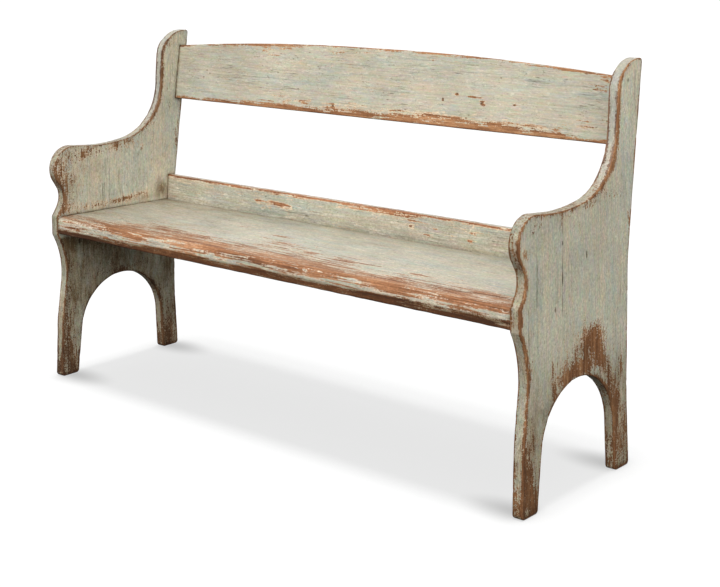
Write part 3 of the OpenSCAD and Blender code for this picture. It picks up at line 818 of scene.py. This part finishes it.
def wear_crest():
    p = coords(crest)
    x, v, w = crest_l(p).T
    h = CREST_H - CREST_R + np.sqrt(CREST_R**2 - np.maximum(0, np.abs(x) - CREST_FLAT) ** 2)
    q = np.column_stack([x * 0.012, v * 0.02, w * 0.02])
    n = fbm(q, 3, 51)
    low = np.interp(x, [-750, -560, -480, -330, -150, 0, 120, 260, 400, 520, 600, 750], [6, 8, 10, 14, 14, 16, 19, 20, 19, 14, 11, 8]) * (1 + 0.5 * n)
    high = np.interp(x, [-750, -600, -470, -400, -300, -230, 0, 250, 500, 620, 700, 750], [3.2, 3.6, 9, 12, 9, 5, 4.2, 4.2, 4.6, 6.5, 7, 4.5]) * (1 + 0.5 * n)
    e = 1.3 - 1.3 * np.hypot(v + RAIL_T, w) / low
    e = np.maximum(e, 1 - np.hypot(v + RAIL_T, w - h) / high)
    e = np.maximum(e, 1 - np.hypot(v, w - h) / 5)
    e = np.maximum(e, 1 - np.hypot(v, w) / 5)
    e = np.where((w > h - 3) & (v > -RAIL_T + 2) & (v < -2), np.maximum(e, -0.3 + 0.6 * n), e)
    e = np.where((w < 3), np.maximum(e, 0.0 + 0.5 * n), e)
    front, back = v < -RAIL_T + 4, v > -4
    z = p[:, 2]
    e = np.maximum(e, np.where(front, -1 + blobs(np.column_stack([x, z]), [
        (-125, 880, 30, 3, 1.3), (-305, 738, 14, 9, 1.2), (-240, 742, 20, 5, 1.0), (-210, 733, 30, 5, 1.2), (580, 736, 14, 7, 1.5),
        (565, 750, 10, 4, 0.9), (655, 872, 8, 4, 1.3), (650, 858, 12, 3, 1.0), (690, 866, 12, 4, 1.2), (700, 770, 22, 3, 1.5),
        (660, 765, 24, 3, 1.4), (690, 838, 22, 3, 1.5), (680, 845, 26, 2.5, 1.3), (665, 752, 22, 2.5, 1.4), (640, 880, 60, 6, 0.9), (705, 862, 14, 8, 1.1), (190, 880, 14, 2, 1.1), (405, 880, 18, 3, 1.1), (330, 797, 22, 2.5, 1.0),
        (360, 783, 7, 5, 1.5), (279, 802, 5, 4, 1.2), (236, 786, 5, 4, 1.0), (455, 790, 6, 3, 0.9), (-470, 738, 22, 3, 0.9),
        (250, 738, 140, 10, 0.9), (60, 738, 110, 9, 0.8), (450, 738, 90, 9, 0.8), (-180, 745, 130, 10, 0.5), (-640, 788, 16, 4, 0.7), (-350, 858, 20, 5, 0.6),
        (-420, 880, 60, 6, 0.9), (-60, 886, 60, 4, 0.7), (520, 890, 60, 4, 0.7)]), -1.0))
    e = np.maximum(e, np.where(back, -1 + blobs(np.column_stack([x, w]), [
        (-400, 150, 90, 12, 1.1), (0, 168, 160, 8, 1.0), (420, 140, 90, 12, 1.0), (-600, 60, 40, 20, 0.8), (200, 20, 140, 9, 1.0),
        (600, 30, 60, 9, 0.9)]), -1.0))
    cream = np.where(front, blobs(np.column_stack([x, z]), [
        (-40, 886, 300, 9, 0.75), (-690, 864, 50, 6, 1.0), (-600, 868, 60, 6, 0.7), (-200, 750, 300, 14, 0.6), (240, 745, 200, 16, 0.9),
        (520, 750, 160, 22, 0.8), (680, 860, 60, 16, 0.6), (-660, 755, 40, 10, 0.6), (360, 786, 20, 12, 0.7), (279, 800, 14, 9, 0.6),
        (236, 786, 14, 8, 0.6), (-360, 870, 60, 12, 0.6), (-130, 740, 200, 12, 0.5), (455, 790, 30, 10, 0.4)]), 0.35)
    end_gap = IN_W - np.abs(x)
    # dark at the ends where the rail meets the panels, darker underside, painted shade growing towards the left end
    dirt = np.where(front, np.exp(-end_gap / 3.5) * 0.7 + 0.2 * np.exp(-end_gap / 25), np.exp(-end_gap / 6) * 0.5)
    dirt = np.maximum(dirt, np.where(w < 2.5, 0.55, 0))
    dirt = np.maximum(dirt, 0.17 * smooth01((-x - 250) / 350))
    store(crest, wear=np.clip(e, -1, 1) * 0.5 + 0.5, cream=cream, dirt=dirt)


wear_crest()
store(plugs, wear=np.full(len(plugs.data.vertices), 0.22), cream=np.full(len(plugs.data.vertices), 0.4), dirt=np.full(len(plugs.data.vertices), 0.3))


# ---------------------------------------------------------------- materials
class Mat:
    """A small builder for node materials."""

    def __init__(self, name):
        self.mat = bpy.data.materials.new(name)
        self.mat.use_nodes = True
        self.nt = self.mat.node_tree
        self.nt.nodes.clear()
        self.out = self.nt.nodes.new("ShaderNodeOutputMaterial")
        self.bsdf = self.nt.nodes.new("ShaderNodeBsdfPrincipled")
        self.nt.links.new(self.bsdf.outputs[0], self.out.inputs["Surface"])
        self.pos = self.nt.nodes.new("ShaderNodeTexCoord").outputs["Object"]

    def set(self, sock, v):
        if isinstance(v, bpy.types.NodeSocket):
            self.nt.links.new(v, sock)
        else:
            sock.default_value = v

    def attr(self, name):
        n = self.nt.nodes.new("ShaderNodeAttribute")
        n.attribute_type, n.attribute_name = "GEOMETRY", name
        return n.outputs["Fac"]

    def math(self, op, a, b=0.0, c=0.0, clamp=False):
        n = self.nt.nodes.new("ShaderNodeMath")
        n.operation, n.use_clamp = op, clamp
        for k, v in enumerate((a, b, c)):
            self.set(n.inputs[k], v)
        return n.outputs[0]

    def add(self, a, b):
        return self.math("ADD", a, b)

    def mul(self, a, b):
        return self.math("MULTIPLY", a, b)

    def step(self, v, lo, hi, out=(0.0, 1.0), smooth=True):
        n = self.nt.nodes.new("ShaderNodeMapRange")
        n.interpolation_type = "SMOOTHSTEP" if smooth else "LINEAR"
        for k, x in enumerate((v, lo, hi, out[0], out[1])):
            self.set(n.inputs[k], x)
        return n.outputs[0]

    def scaled(self, scale, offset=(0, 0, 0), v=None):
        n = self.nt.nodes.new("ShaderNodeMapping")
        self.set(n.inputs["Vector"], v or self.pos)
        n.inputs["Scale"].default_value = scale
        n.inputs["Location"].default_value = offset
        return n.outputs[0]

    def noise(self, vec, scale, detail=3.0, rough=0.5, warp=0.0, signed=False):
        n = self.nt.nodes.new("ShaderNodeTexNoise")
        self.set(n.inputs["Vector"], vec)
        n.inputs["Scale"].default_value = scale
        n.inputs["Detail"].default_value = detail
        n.inputs["Roughness"].default_value = rough
        n.inputs["Distortion"].default_value = warp
        o = n.outputs["Fac"]
        return self.math("MULTIPLY_ADD", o, 2.0, -1.0) if signed else o

    def cells(self, vec, scale, feature="F1", random=1.0, out="Distance"):
        n = self.nt.nodes.new("ShaderNodeTexVoronoi")
        n.feature = feature
        self.set(n.inputs["Vector"], vec)
        n.inputs["Scale"].default_value = scale
        n.inputs["Randomness"].default_value = random
        return n.outputs[out]

    def mix(self, f, a, b, kind="MIX"):
        n = self.nt.nodes.new("ShaderNodeMix")
        n.data_type, n.blend_type = "RGBA", kind
        self.set(n.inputs[0], f)
        for k, v in ((6, a), (7, b)):
            self.set(n.inputs[k], (*v, 1.0) if isinstance(v, tuple) and len(v) == 3 else v)
        return n.outputs[2]

    def ramp(self, f, *stops):
        n = self.nt.nodes.new("ShaderNodeValToRGB")
        self.set(n.inputs[0], f)
        el = n.color_ramp.elements
        while len(el) < len(stops):
            el.new(0.5)
        for e, (at, c) in zip(el, stops):
            e.position, e.color = at, (*c, 1.0)
        return n.outputs[0]

    def spot(self, centre, radii):
        """1 at centre (m) falling to 0 at the ellipsoid of the given radii."""
        v = self.scaled(tuple(1 / r for r in radii), tuple(-c / r for c, r in zip(centre, radii)))
        n = self.nt.nodes.new("ShaderNodeVectorMath")
        n.operation = "LENGTH"
        self.set(n.inputs[0], v)
        return self.math("SUBTRACT", 1.0, n.outputs["Value"], clamp=True)

    def bump(self, height, strength, dist, normal=None):
        n = self.nt.nodes.new("ShaderNodeBump")
        n.inputs["Strength"].default_value = strength
        n.inputs["Distance"].default_value = dist
        self.set(n.inputs["Height"], height)
        if normal is not None:
            self.set(n.inputs["Normal"], normal)
        return n.outputs[0]

    def finish(self, color, rough, normal, spec=0.35, metal=0.0):
        self.set(self.bsdf.inputs["Base Color"], color)
        self.set(self.bsdf.inputs["Roughness"], rough)
        self.set(self.bsdf.inputs["Normal"], normal)
        self.set(self.bsdf.inputs["Specular IOR Level"], spec)
        self.set(self.bsdf.inputs["Metallic"], metal)
        return self.mat


def stretch(m, axis, along, seed):
    """Coordinates squeezed along the grain, so noise draws out into streaks."""
    s = [1.0, 1.0, 1.0]
    s[axis] = along
    return m.scaled(tuple(s), (seed * 1.7, seed * 0.9, seed * 1.3))


def wood_layer(m, axis, seed):
    g = stretch(m, axis, 0.055, seed)
    broad = m.noise(g, 55, 4, 0.55, 0.4)
    fine = m.noise(stretch(m, axis, 0.03, seed + 3), 420, 4, 0.66)
    pores = m.noise(stretch(m, axis, 0.05, seed + 5), 1300, 2, 0.5)
    f = m.add(m.mul(broad, 0.50), m.mul(fine, 0.50))
    col = m.ramp(f, (0.32, (0.066, 0.024, 0.009)), (0.43, (0.180, 0.072, 0.030)), (0.51, (0.300, 0.138, 0.064)),
                 (0.59, (0.400, 0.212, 0.110)), (0.70, (0.540, 0.340, 0.210)))
    col = m.mix(m.step(pores, 0.56, 0.70, (0.0, 0.6)), col, (0.045, 0.018, 0.008))
    return col, fine, pores


def tinted(m, col, vec, scale, detail, rough, amount):
    """Shifts each channel of col by its own noise."""
    n = m.nt.nodes.new("ShaderNodeTexNoise")
    m.set(n.inputs["Vector"], vec)
    n.inputs["Scale"].default_value, n.inputs["Detail"].default_value, n.inputs["Roughness"].default_value = scale, detail, rough
    v = m.nt.nodes.new("ShaderNodeVectorMath")
    v.operation = "MULTIPLY_ADD"
    m.set(v.inputs[0], n.outputs["Color"])
    v.inputs[1].default_value = [2 * k for k in amount]
    v.inputs[2].default_value = [1 - k for k in amount]
    return m.mix(1.0, col, v.outputs[0], "MULTIPLY")


def painted(name, axis, seed, along=0.10, wood_bias=0.0, spots=(), knots=(), seam=None, grain=0.28, mottle=(0.22, 0.20, 0.235), painted_light_lift=None, amp=(1.5, 1.4, 1.2, 1.0), wood_tint=(1.0, 1.0, 1.0), paint_tint=(1.0, 1.0, 1.0), cream_tint=(1.0, 1.0, 1.0), chip_size=130, loose=1.0):
    """Old sage paint over a cream undercoat over brown wood, worn where the vertices say so."""
    m = Mat(name)
    wear, cream_at, dirt = m.attr("wear"), m.attr("cream"), m.attr("dirt")
    streak = m.noise(stretch(m, axis, along, seed), 150, 4, 0.62, 0.25, signed=True)
    long = m.noise(stretch(m, axis, along * 0.4, seed + 1), 300, 3, 0.62, signed=True)
    chip = m.noise(m.scaled((1, 1, 1), (seed, 2 * seed, 0)), chip_size, 4, 0.66, 0.3, signed=True)
    fine = m.noise(m.pos, 340, 4, 0.68, signed=True)
    blot = m.noise(stretch(m, axis, 0.4, seed + 2), 26, 4, 0.6, 0.5, signed=True)

    e = m.math("MULTIPLY_ADD", wear, 2.0, -1.0)
    n = m.add(m.mul(streak, amp[0]), m.add(m.mul(long, amp[1]), m.add(m.mul(chip, amp[2]), m.mul(fine, amp[3]))))
    n = m.add(n, m.mul(blot, 0.55))
    n = m.mul(n, m.step(e, -1.0, -0.15, (0.78, 1.25)))
    h = m.add(m.add(e, n), wood_bias)
    for centre, radii, k in spots:
        h = m.add(h, m.mul(m.spot(centre, radii), k))
    bare = m.step(h, -0.05, 0.07)
    # the undercoat shows in a fringe round the bare wood and in scuffed places
    flake = m.noise(stretch(m, axis, along * 1.6, seed + 4), 270, 4, 0.66, 0.2, signed=True)
    c_at = m.add(h, m.math("MULTIPLY_ADD", cream_at, 0.66, 0.04))
    c_at = m.add(c_at, m.add(m.mul(blot, 0.45), m.mul(flake, 0.95)))
    under = m.step(c_at, -0.08, 0.16)

    wood, wood_fine, pores = wood_layer(m, axis, seed)
    wood = m.mix(1.0, wood, wood_tint, "MULTIPLY")

    # paint: dry sage, streaked by the brush, mottled green, blue-grey, ochre and beige
    brush = m.noise(stretch(m, axis, 0.025, seed + 7), 290, 4, 0.64)
    tone = m.noise(stretch(m, axis, 0.16, seed + 8), 24, 6, 0.66, 0.6)
    tone2 = m.noise(stretch(m, axis, 0.26 * loose, seed + 9), 60, 5, 0.66, 0.5)
    paint = m.ramp(tone, (0.30, (0.425, 0.462, 0.405)), (0.43, (0.500, 0.502, 0.415)), (0.55, (0.540, 0.500, 0.392)), (0.70, (0.590, 0.520, 0.400)))
    paint = m.mix(m.step(tone2, 0.55, 0.66, (0.0, 0.55)), paint, (0.470, 0.520, 0.470))
    paint = m.mix(m.step(tone2, 0.45, 0.34, (0.0, 0.45)), paint, (0.560, 0.480, 0.330))
    paint = m.mix(1.0, paint, paint_tint, "MULTIPLY")
    paint = tinted(m, paint, stretch(m, axis, 0.30 * loose, seed + 16), 85, 5, 0.70, mottle)
    paint = tinted(m, paint, stretch(m, axis, 0.14 * loose, seed + 17), 240, 4, 0.70, (0.25, 0.24, 0.27))
    paint = m.mix(m.step(brush, 0.52, 0.70, (0.0, 0.45)), paint, (0.670, 0.640, 0.540))
    paint = m.mix(m.step(brush, 0.48, 0.33, (0.0, 0.42)), paint, (0.330, 0.315, 0.240))
    scuff = m.noise(stretch(m, axis, 0.34 * loose, seed + 11), 170, 5, 0.7, 0.4)
    paint = m.mix(m.step(scuff, 0.56, 0.64, (0.0, 0.50)), paint, (0.720, 0.670, 0.560))
    rub = m.noise(stretch(m, axis, 0.30, seed + 18), 120, 5, 0.7, 0.4)
    paint = m.mix(m.step(rub, 0.60, 0.68, (0.0, 0.55)), paint, (0.560, 0.360, 0.250))
    grit = m.noise(stretch(m, axis, 0.6, seed + 24), 240, 4, 0.85)

    creamy = m.ramp(m.noise(stretch(m, axis, 0.22, seed + 12), 150, 4, 0.7), (0.34, (0.440, 0.275, 0.180)), (0.46, (0.660, 0.500, 0.370)),
                    (0.56, (0.740, 0.650, 0.520)), (0.68, (0.690, 0.640, 0.480)))
    creamy = m.mix(1.0, creamy, cream_tint, "MULTIPLY")
    col = m.mix(under, paint, creamy)
    col = m.mix(bare, col, wood)
    gv = m.nt.nodes.new("ShaderNodeHueSaturation")
    m.set(gv.inputs["Color"], col)
    m.set(gv.inputs["Value"], m.step(grit, 0.34, 0.66, (1.0 - grain, 1.0 + grain), smooth=False))
    col = gv.outputs[0]

    # pinholes, short scratches and thin checks along the grain
    hole = m.cells(stretch(m, axis, 0.42, seed + 19), 95)
    crowd = m.step(m.noise(m.pos, 13, 3, 0.6), 0.44, 0.64)
    holes_ = m.mul(m.step(hole, 0.20, 0.11), m.step(m.noise(m.pos, 60, 2, 0.5), 0.46, 0.56))
    holes_ = m.mul(holes_, m.math("MULTIPLY_ADD", crowd, 0.8, 0.2))
    check = m.noise(stretch(m, axis, 0.016, seed + 14), 210, 2, 0.5, signed=True)
    gate = m.step(m.noise(stretch(m, axis, 0.5, seed + 15), 14, 2, 0.5), 0.48, 0.60)
    crack = m.mul(m.step(m.math("ABSOLUTE", check), 0.030, 0.004), gate)
    nick = m.noise(stretch(m, axis, 0.13, seed + 20), 210, 3, 0.6, signed=True)
    nick = m.mul(m.step(m.math("ABSOLUTE", nick), 0.042, 0.0), m.step(m.noise(m.pos, 36, 3, 0.6), 0.50, 0.60))
    marks = m.math("MAXIMUM", m.mul(holes_, 0.62), m.math("MAXIMUM", m.mul(crack, 0.7), m.mul(nick, 0.55)))
    for centre, radii, k in knots:
        marks = m.math("MAXIMUM", marks, m.mul(m.step(m.add(m.spot(centre, radii), m.mul(fine, 0.5)), 0.05, 0.55), k))
    if seam is not None:     # the joint between the two boards, opened here and there
        sep = m.nt.nodes.new("ShaderNodeSeparateXYZ")
        m.set(sep.inputs[0], m.pos)
        off = m.math("ABSOLUTE", m.add(m.math("SUBTRACT", sep.outputs["Y"], seam), m.mul(streak, 0.0012)))
        open_ = m.step(m.noise(stretch(m, 1, 0.0, seed + 22), 11, 3, 0.6), 0.46, 0.58)
        marks = m.math("MAXIMUM", marks, m.mul(m.step(off, 0.0016, 0.0004), m.math("MULTIPLY_ADD", open_, 0.62, 0.16)))
    col = m.mix(marks, col, (0.085, 0.055, 0.027))

    # grime and painted shade in the corners, under the seat and towards the left end, and a thin uneven glaze
    dn = m.add(dirt, m.mul(m.mul(m.add(m.mul(fine, 0.8), m.add(m.mul(streak, 0.6), blot)), dirt), 1.0))
    grime_and_shade = m.step(dn, 0.05, 1.0, (0.0, 1.0), smooth=False)
    col = m.mix(grime_and_shade, col, m.mix(1.0, col, (0.42, 0.33, 0.22), "MULTIPLY"))
    col = m.mix(m.mul(grime_and_shade, 0.35), col, (0.060, 0.042, 0.022))
    col = m.mix(m.step(dn, 0.62, 1.05), col, m.mix(1.0, col, (0.78, 0.66, 0.56), "MULTIPLY"))
    glaze_and_painted_light = m.step(m.noise(m.pos, 9.0, 5, 0.62), 0.36, 0.66, (0.92, 1.05))
    if painted_light_lift is not None:     # painted light: broad faces painted lighter towards the top, edge faces painted darker and greyer towards the top
        sz = m.nt.nodes.new("ShaderNodeSeparateXYZ")
        m.set(sz.inputs[0], m.pos)
        off_x = m.math("ABSOLUTE", sz.outputs["X"])
        on_face = m.math("MAXIMUM", m.step(off_x, 0.7700, 0.7732), m.step(off_x, 0.7520, 0.7488))
        up_face = m.step(sz.outputs["Z"], painted_light_lift[0], painted_light_lift[1], (1.0, painted_light_lift[2]))
        up_edge = m.step(sz.outputs["Z"], 0.58, 0.70, (1.0, painted_light_lift[3]))
        glaze_and_painted_light = m.mul(glaze_and_painted_light, m.add(m.mul(on_face, up_face), m.mul(m.math("SUBTRACT", 1.0, on_face), up_edge)))
    hsv = m.nt.nodes.new("ShaderNodeHueSaturation")
    m.set(hsv.inputs["Color"], col)
    m.set(hsv.inputs["Value"], glaze_and_painted_light)
    if painted_light_lift is not None:
        m.set(hsv.inputs["Saturation"], m.add(on_face, m.mul(m.math("SUBTRACT", 1.0, on_face), m.step(sz.outputs["Z"], 0.58, 0.70, (1.0, 0.72)))))
    col = hsv.outputs[0]

    rough = m.add(m.math("MULTIPLY_ADD", bare, 0.13, 0.56), m.add(m.mul(fine, 0.10), m.mul(grime_and_shade, 0.10)))
    # relief: paint film thickness, brush lines, open grain
    film = m.math("SUBTRACT", 1.0, bare)
    film2 = m.mul(m.math("SUBTRACT", 1.0, under), 0.55)
    height = m.add(m.add(film, film2), m.add(m.mul(brush, 0.9), m.mul(m.mul(wood_fine, bare), 1.2)))
    height = m.add(height, m.add(m.mul(marks, -1.5), m.add(m.mul(fine, 0.35), m.mul(long, 0.35))))
    nrm = m.bump(height, 0.62, 0.00045)
    return m.finish(col, rough, nrm, 0.32)


def bare_wood(name, axis, seed, tint=(1.0, 1.0, 1.0)):
    m = Mat(name)
    col, fine, pores = wood_layer(m, axis, seed)
    col = m.mix(1.0, col, tint, "MULTIPLY")
    nrm = m.bump(m.add(fine, m.mul(pores, 0.3)), 0.4, 0.0003)
    return m.finish(col, 0.62, nrm, 0.3)


def steel(name):
    m = Mat(name)
    n = m.noise(m.pos, 900, 4, 0.6)
    rust = m.step(m.noise(m.pos, 260, 4, 0.6), 0.50, 0.66)
    col = m.mix(rust, m.mix(n, (0.17, 0.165, 0.155), (0.34, 0.33, 0.315)), (0.135, 0.062, 0.030))
    return m.finish(col, m.step(n, 0.3, 0.7, (0.38, 0.60)), m.bump(n, 0.3, 0.0002), 0.5, m.step(rust, 0.0, 1.0, (0.9, 0.15)))


# the uprights' lift values paint the broad faces lighter and the edge faces darker towards the top
PAINT_Z = {"left": painted("paint_upright_left", 2, 5.0, 0.22, painted_light_lift=(0.60, 0.92, 1.0, 0.80), seam=GLUE_Y * 0.001, knots=[((-0.747, -0.165, 0.360), (0.05, 0.004, 0.012), 0.9)], wood_tint=(0.82, 0.83, 0.77), paint_tint=(1.02, 0.99, 0.955), cream_tint=(0.95, 0.91, 0.84), chip_size=190, loose=1.9, amp=(1.0, 1.2, 1.45, 1.6)), "right": painted("paint_upright_right", 2, 2.0, 0.22, painted_light_lift=(0.60, 0.92, 1.26, 0.82), seam=GLUE_Y * 0.001, knots=[((0.774, 0.011, 0.508), (0.02, 0.003, 0.013), 1.0), ((0.774, -0.082, 0.475), (0.02, 0.0025, 0.024), 1.0), ((0.774, -0.082, 0.549), (0.02, 0.0025, 0.007), 0.9), ((0.774, 0.180, 0.868), (0.02, 0.0065, 0.006), 0.6), ((0.774, -0.110, 0.413), (0.02, 0.003, 0.008), 0.7)], wood_tint=(1.05, 1.02, 0.90), paint_tint=(1.075, 1.035, 0.99), cream_tint=(0.95, 0.92, 0.86), chip_size=190, loose=1.7, amp=(1.1, 1.3, 1.35, 1.5))}
PAINT_SEAT = painted("paint_seat", 0, 9.0, 0.07, amp=(2.3, 2.0, 0.8, 0.9), wood_tint=(1.22, 1.18, 1.16), paint_tint=(0.925, 0.910, 0.910))
PAINT_RAIL = painted("paint_rail", 0, 13.0, amp=(1.9, 1.5, 1.0, 0.9), wood_tint=(1.15, 1.02, 0.96), paint_tint=(0.79, 0.775, 0.765), cream_tint=(0.94, 0.90, 0.83), mottle=(0.15, 0.14, 0.165), loose=0.5)
CREST_KNOTS = [(0.355, 0.783, 0.0068, 0.0048), (0.236, 0.786, 0.0055, 0.005), (0.279, 0.801, 0.005, 0.005), (0.452, 0.786, 0.005, 0.0045), (-0.128, 0.742, 0.007, 0.005)]
PAINT_CREST = painted("paint_crest", 0, 17.0, grain=0.11, mottle=(0.16, 0.15, 0.175), spots=[((x, 0.2, z), (1.7 * a, 0.3, 1.5 * b), 1.35) for x, z, a, b in CREST_KNOTS] + [((0.324, 0.2, 0.797), (0.020, 0.3, 0.0026), 1.9)],
                      knots=[((x, 0.2, z), (0.75 * a, 0.3, 0.75 * b), 0.8) for x, z, a, b in CREST_KNOTS], amp=(1.7, 1.5, 1.0, 0.9), wood_tint=(1.26, 1.27, 1.22), paint_tint=(0.965, 0.94, 0.935), cream_tint=(0.96, 0.91, 0.84))
WOOD_X = bare_wood("turned_wood", 0, 3.0)
STEEL = steel("screw_steel")


def dress(ob, mat):
    me = ob.data
    me.materials.clear()
    me.materials.append(mat)
    me.polygons.foreach_set("use_smooth", [True] * len(me.polygons))
    me.set_sharp_from_angle(angle=math.radians(38))


PIECES = [
    (seat, "seat_board", PAINT_SEAT), (rail, "lower_back_rail", PAINT_RAIL), (crest, "crest_rail", PAINT_CREST),
    (plugs, "rail_screw_plugs", PAINT_RAIL)]
for word in ("left", "right"):
    PIECES.append((ends[word][0], word + "_end_front_board", PAINT_Z[word]))
    PIECES.append((ends[word][1], word + "_end_rear_board", PAINT_Z[word]))
for ob, node, mat in PIECES:
    dress(ob, mat)
    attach(ob, "root")
    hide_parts(node)

for node in ("left_seat_cleat", "right_seat_cleat"):
    b = NODES[node].modifiers.new("eased", "BEVEL")
    b.width, b.segments, b.limit_method, b.angle_limit = 0.0014, 2, "ANGLE", math.radians(60)
    b.harden_normals = False
PAINT_CLEAT = painted("paint_cleat", 1, 21.0, 0.10, 0.12)
for node, mat in (("left_seat_cleat", PAINT_CLEAT), ("right_seat_cleat", PAINT_CLEAT), ("crest_rail_dowels", WOOD_X),
                  ("lower_rail_dowels", WOOD_X), ("cleat_to_end_screws", STEEL), ("cleat_to_seat_screws", STEEL), ("rail_to_seat_screws", STEEL)):
    ob = NODES[node]
    ob.data.materials.clear()
    ob.data.materials.append(mat)

# ---------------------------------------------------------------- floor and light
KEY, FILL, DOME_LOW, DOME_HIGH = 0.69, 0.50, 0.06, 0.64
floor = add_object("floor", np.array([(-60, -60, 0), (60, -60, 0), (60, 60, 0), (-60, 60, 0)]) * 1000.0 - [0, 0, 0.2], [(0, 1, 2, 3)])
fm = Mat("floor_white")
fm.bsdf.inputs["Base Color"].default_value = (0.25, 0.25, 0.25, 1.0)
fm.bsdf.inputs["Emission Color"].default_value = (1.0, 1.0, 1.0, 1.0)
glow = 0.705
fx = fm.nt.nodes.new("ShaderNodeSeparateXYZ")
fm.set(fx.inputs[0], fm.pos)
inside_x = fm.step(fm.math("ABSOLUTE", fx.outputs["X"]), 0.800, 0.735)
for cx in (-0.728, 0.728):     # the closest shade, beside each foot
    for cy in (-0.206, 0.150):
        near = fm.step(fm.spot((cx, cy + 0.006, 0.0), (0.155, 0.075, 1.0)), 0.0, 1.0)
        glow = fm.math("MULTIPLY_ADD", fm.mul(near, inside_x), -0.24, glow)
fm.set(fm.bsdf.inputs["Emission Strength"], glow)
fm.bsdf.inputs["Roughness"].default_value = 0.95
fm.bsdf.inputs["Specular IOR Level"].default_value = 0.0
floor.data.materials.append(fm.mat)
floor.visible_diffuse = False
floor.visible_glossy = False


def sun(name, direction, strength, angle, color):
    data = bpy.data.lights.new(name, "SUN")
    data.energy, data.angle, data.color = strength * math.pi, math.radians(angle), color
    ob = bpy.data.objects.new(name, data)
    ob.rotation_euler = Vector(direction).to_track_quat("Z", "Y").to_euler()
    ob.location = Vector(direction).normalized() * 4
    SCENE.collection.objects.link(ob)
    return ob


studio = [sun("key", (0.06, -0.73, 0.68), KEY, 34, (1.0, 0.985, 0.955)),
          sun("fill", (0.82, -0.48, 0.34), FILL, 50, (0.965, 1.0, 1.0)),
          sun("back", (-0.42, 0.86, 0.19), 0.35, 60, (1.0, 1.0, 1.0))]
overhead = sun("overhead", (0.0, 0.0, 1.0), 0.84, 12, (1.0, 1.0, 1.0))
# the floor is lit from straight above, so the shadow lies right under the pew
on_floor, off_floor = bpy.data.collections.new("lit_overhead"), bpy.data.collections.new("lit_studio")
on_floor.objects.link(floor)
off_floor.objects.link(floor)
overhead.light_linking.receiver_collection = on_floor
for o in studio:
    o.light_linking.receiver_collection = off_floor
off_floor.collection_objects[0].light_linking.link_state = "EXCLUDE"

world = bpy.data.worlds.new("studio")
SCENE.world = world
world.use_nodes = True
wt = world.node_tree
wt.nodes.clear()
w_out = wt.nodes.new("ShaderNodeOutputWorld")
seen, lit = wt.nodes.new("ShaderNodeBackground"), wt.nodes.new("ShaderNodeBackground")
pick, path_ = wt.nodes.new("ShaderNodeMixShader"), wt.nodes.new("ShaderNodeLightPath")
tc, sep, mr = wt.nodes.new("ShaderNodeTexCoord"), wt.nodes.new("ShaderNodeSeparateXYZ"), wt.nodes.new("ShaderNodeMapRange")
wt.links.new(tc.outputs["Generated"], sep.inputs[0])
wt.links.new(sep.outputs["Z"], mr.inputs["Value"])
mr.inputs["From Min"].default_value, mr.inputs["From Max"].default_value = -0.25, 0.55
mr.inputs["To Min"].default_value, mr.inputs["To Max"].default_value = DOME_LOW, DOME_HIGH
mr.interpolation_type = "SMOOTHSTEP"
wt.links.new(mr.outputs[0], lit.inputs["Strength"])
lit.inputs["Color"].default_value = (0.985, 1.0, 0.985, 1.0)
seen.inputs["Color"].default_value = (1, 1, 1, 1)
wt.links.new(path_.outputs["Is Camera Ray"], pick.inputs[0])
wt.links.new(lit.outputs[0], pick.inputs[1])
wt.links.new(seen.outputs[0], pick.inputs[2])
wt.links.new(pick.outputs[0], w_out.inputs["Surface"])
SCENE.view_settings.view_transform = "Standard"
SCENE.view_settings.look = "None"

# ---------------------------------------------------------------- camera
CAM_AZ, CAM_EL, CAM_ROLL = 40.36, 3.31, -0.57
CAM_F, CAM_PX, CAM_PY = 1465.1, 394.1, 3.1     # focal length and principal point, for a frame 720 x 587
CAM_LOC = Vector((2.4754, -2.6206, 1.2317))
FRAME_W, FRAME_H = 720.0, 587.0


def make_camera():
    a, e, r = math.radians(CAM_AZ), math.radians(CAM_EL), math.radians(CAM_ROLL)
    back = Vector((math.sin(a) * math.cos(e), -math.cos(a) * math.cos(e), math.sin(e)))
    right = (-back).cross(Vector((0, 0, 1))).normalized()
    up = right.cross(-back)
    x = math.cos(r) * right + math.sin(r) * up
    y = -math.sin(r) * right + math.cos(r) * up
    data = bpy.data.cameras.new("camera")
    cam = bpy.data.objects.new("camera", data)
    SCENE.collection.objects.link(cam)
    m = Matrix((x, y, back)).transposed().to_4x4()
    m.translation = CAM_LOC
    cam.matrix_world = m
    data.sensor_width, data.sensor_fit = 36.0, "HORIZONTAL"
    data.lens = CAM_F * 36.0 / FRAME_W
    data.clip_start, data.clip_end = 0.05, 200.0
    sx, sy = (FRAME_W / 2 - CAM_PX) / FRAME_W, (CAM_PY - FRAME_H / 2) / FRAME_W
    # the off-centre lens belongs to this viewpoint only, so a camera moved elsewhere looks straight ahead
    for name, value in (("shift_x", sx), ("shift_y", sy)):
        d = data.driver_add(name).driver
        d.type = "SCRIPTED"
        v = d.variables.new()
        v.name, v.type = "px", "TRANSFORMS"
        v.targets[0].id, v.targets[0].transform_type, v.targets[0].transform_space = cam, "LOC_X", "WORLD_SPACE"
        d.expression = f"{value:.6f} if abs(px-{CAM_LOC.x:.4f})<0.0005 else 0.0"
    SCENE.camera = cam
    return cam


make_camera()
bpy.context.view_layer.update()
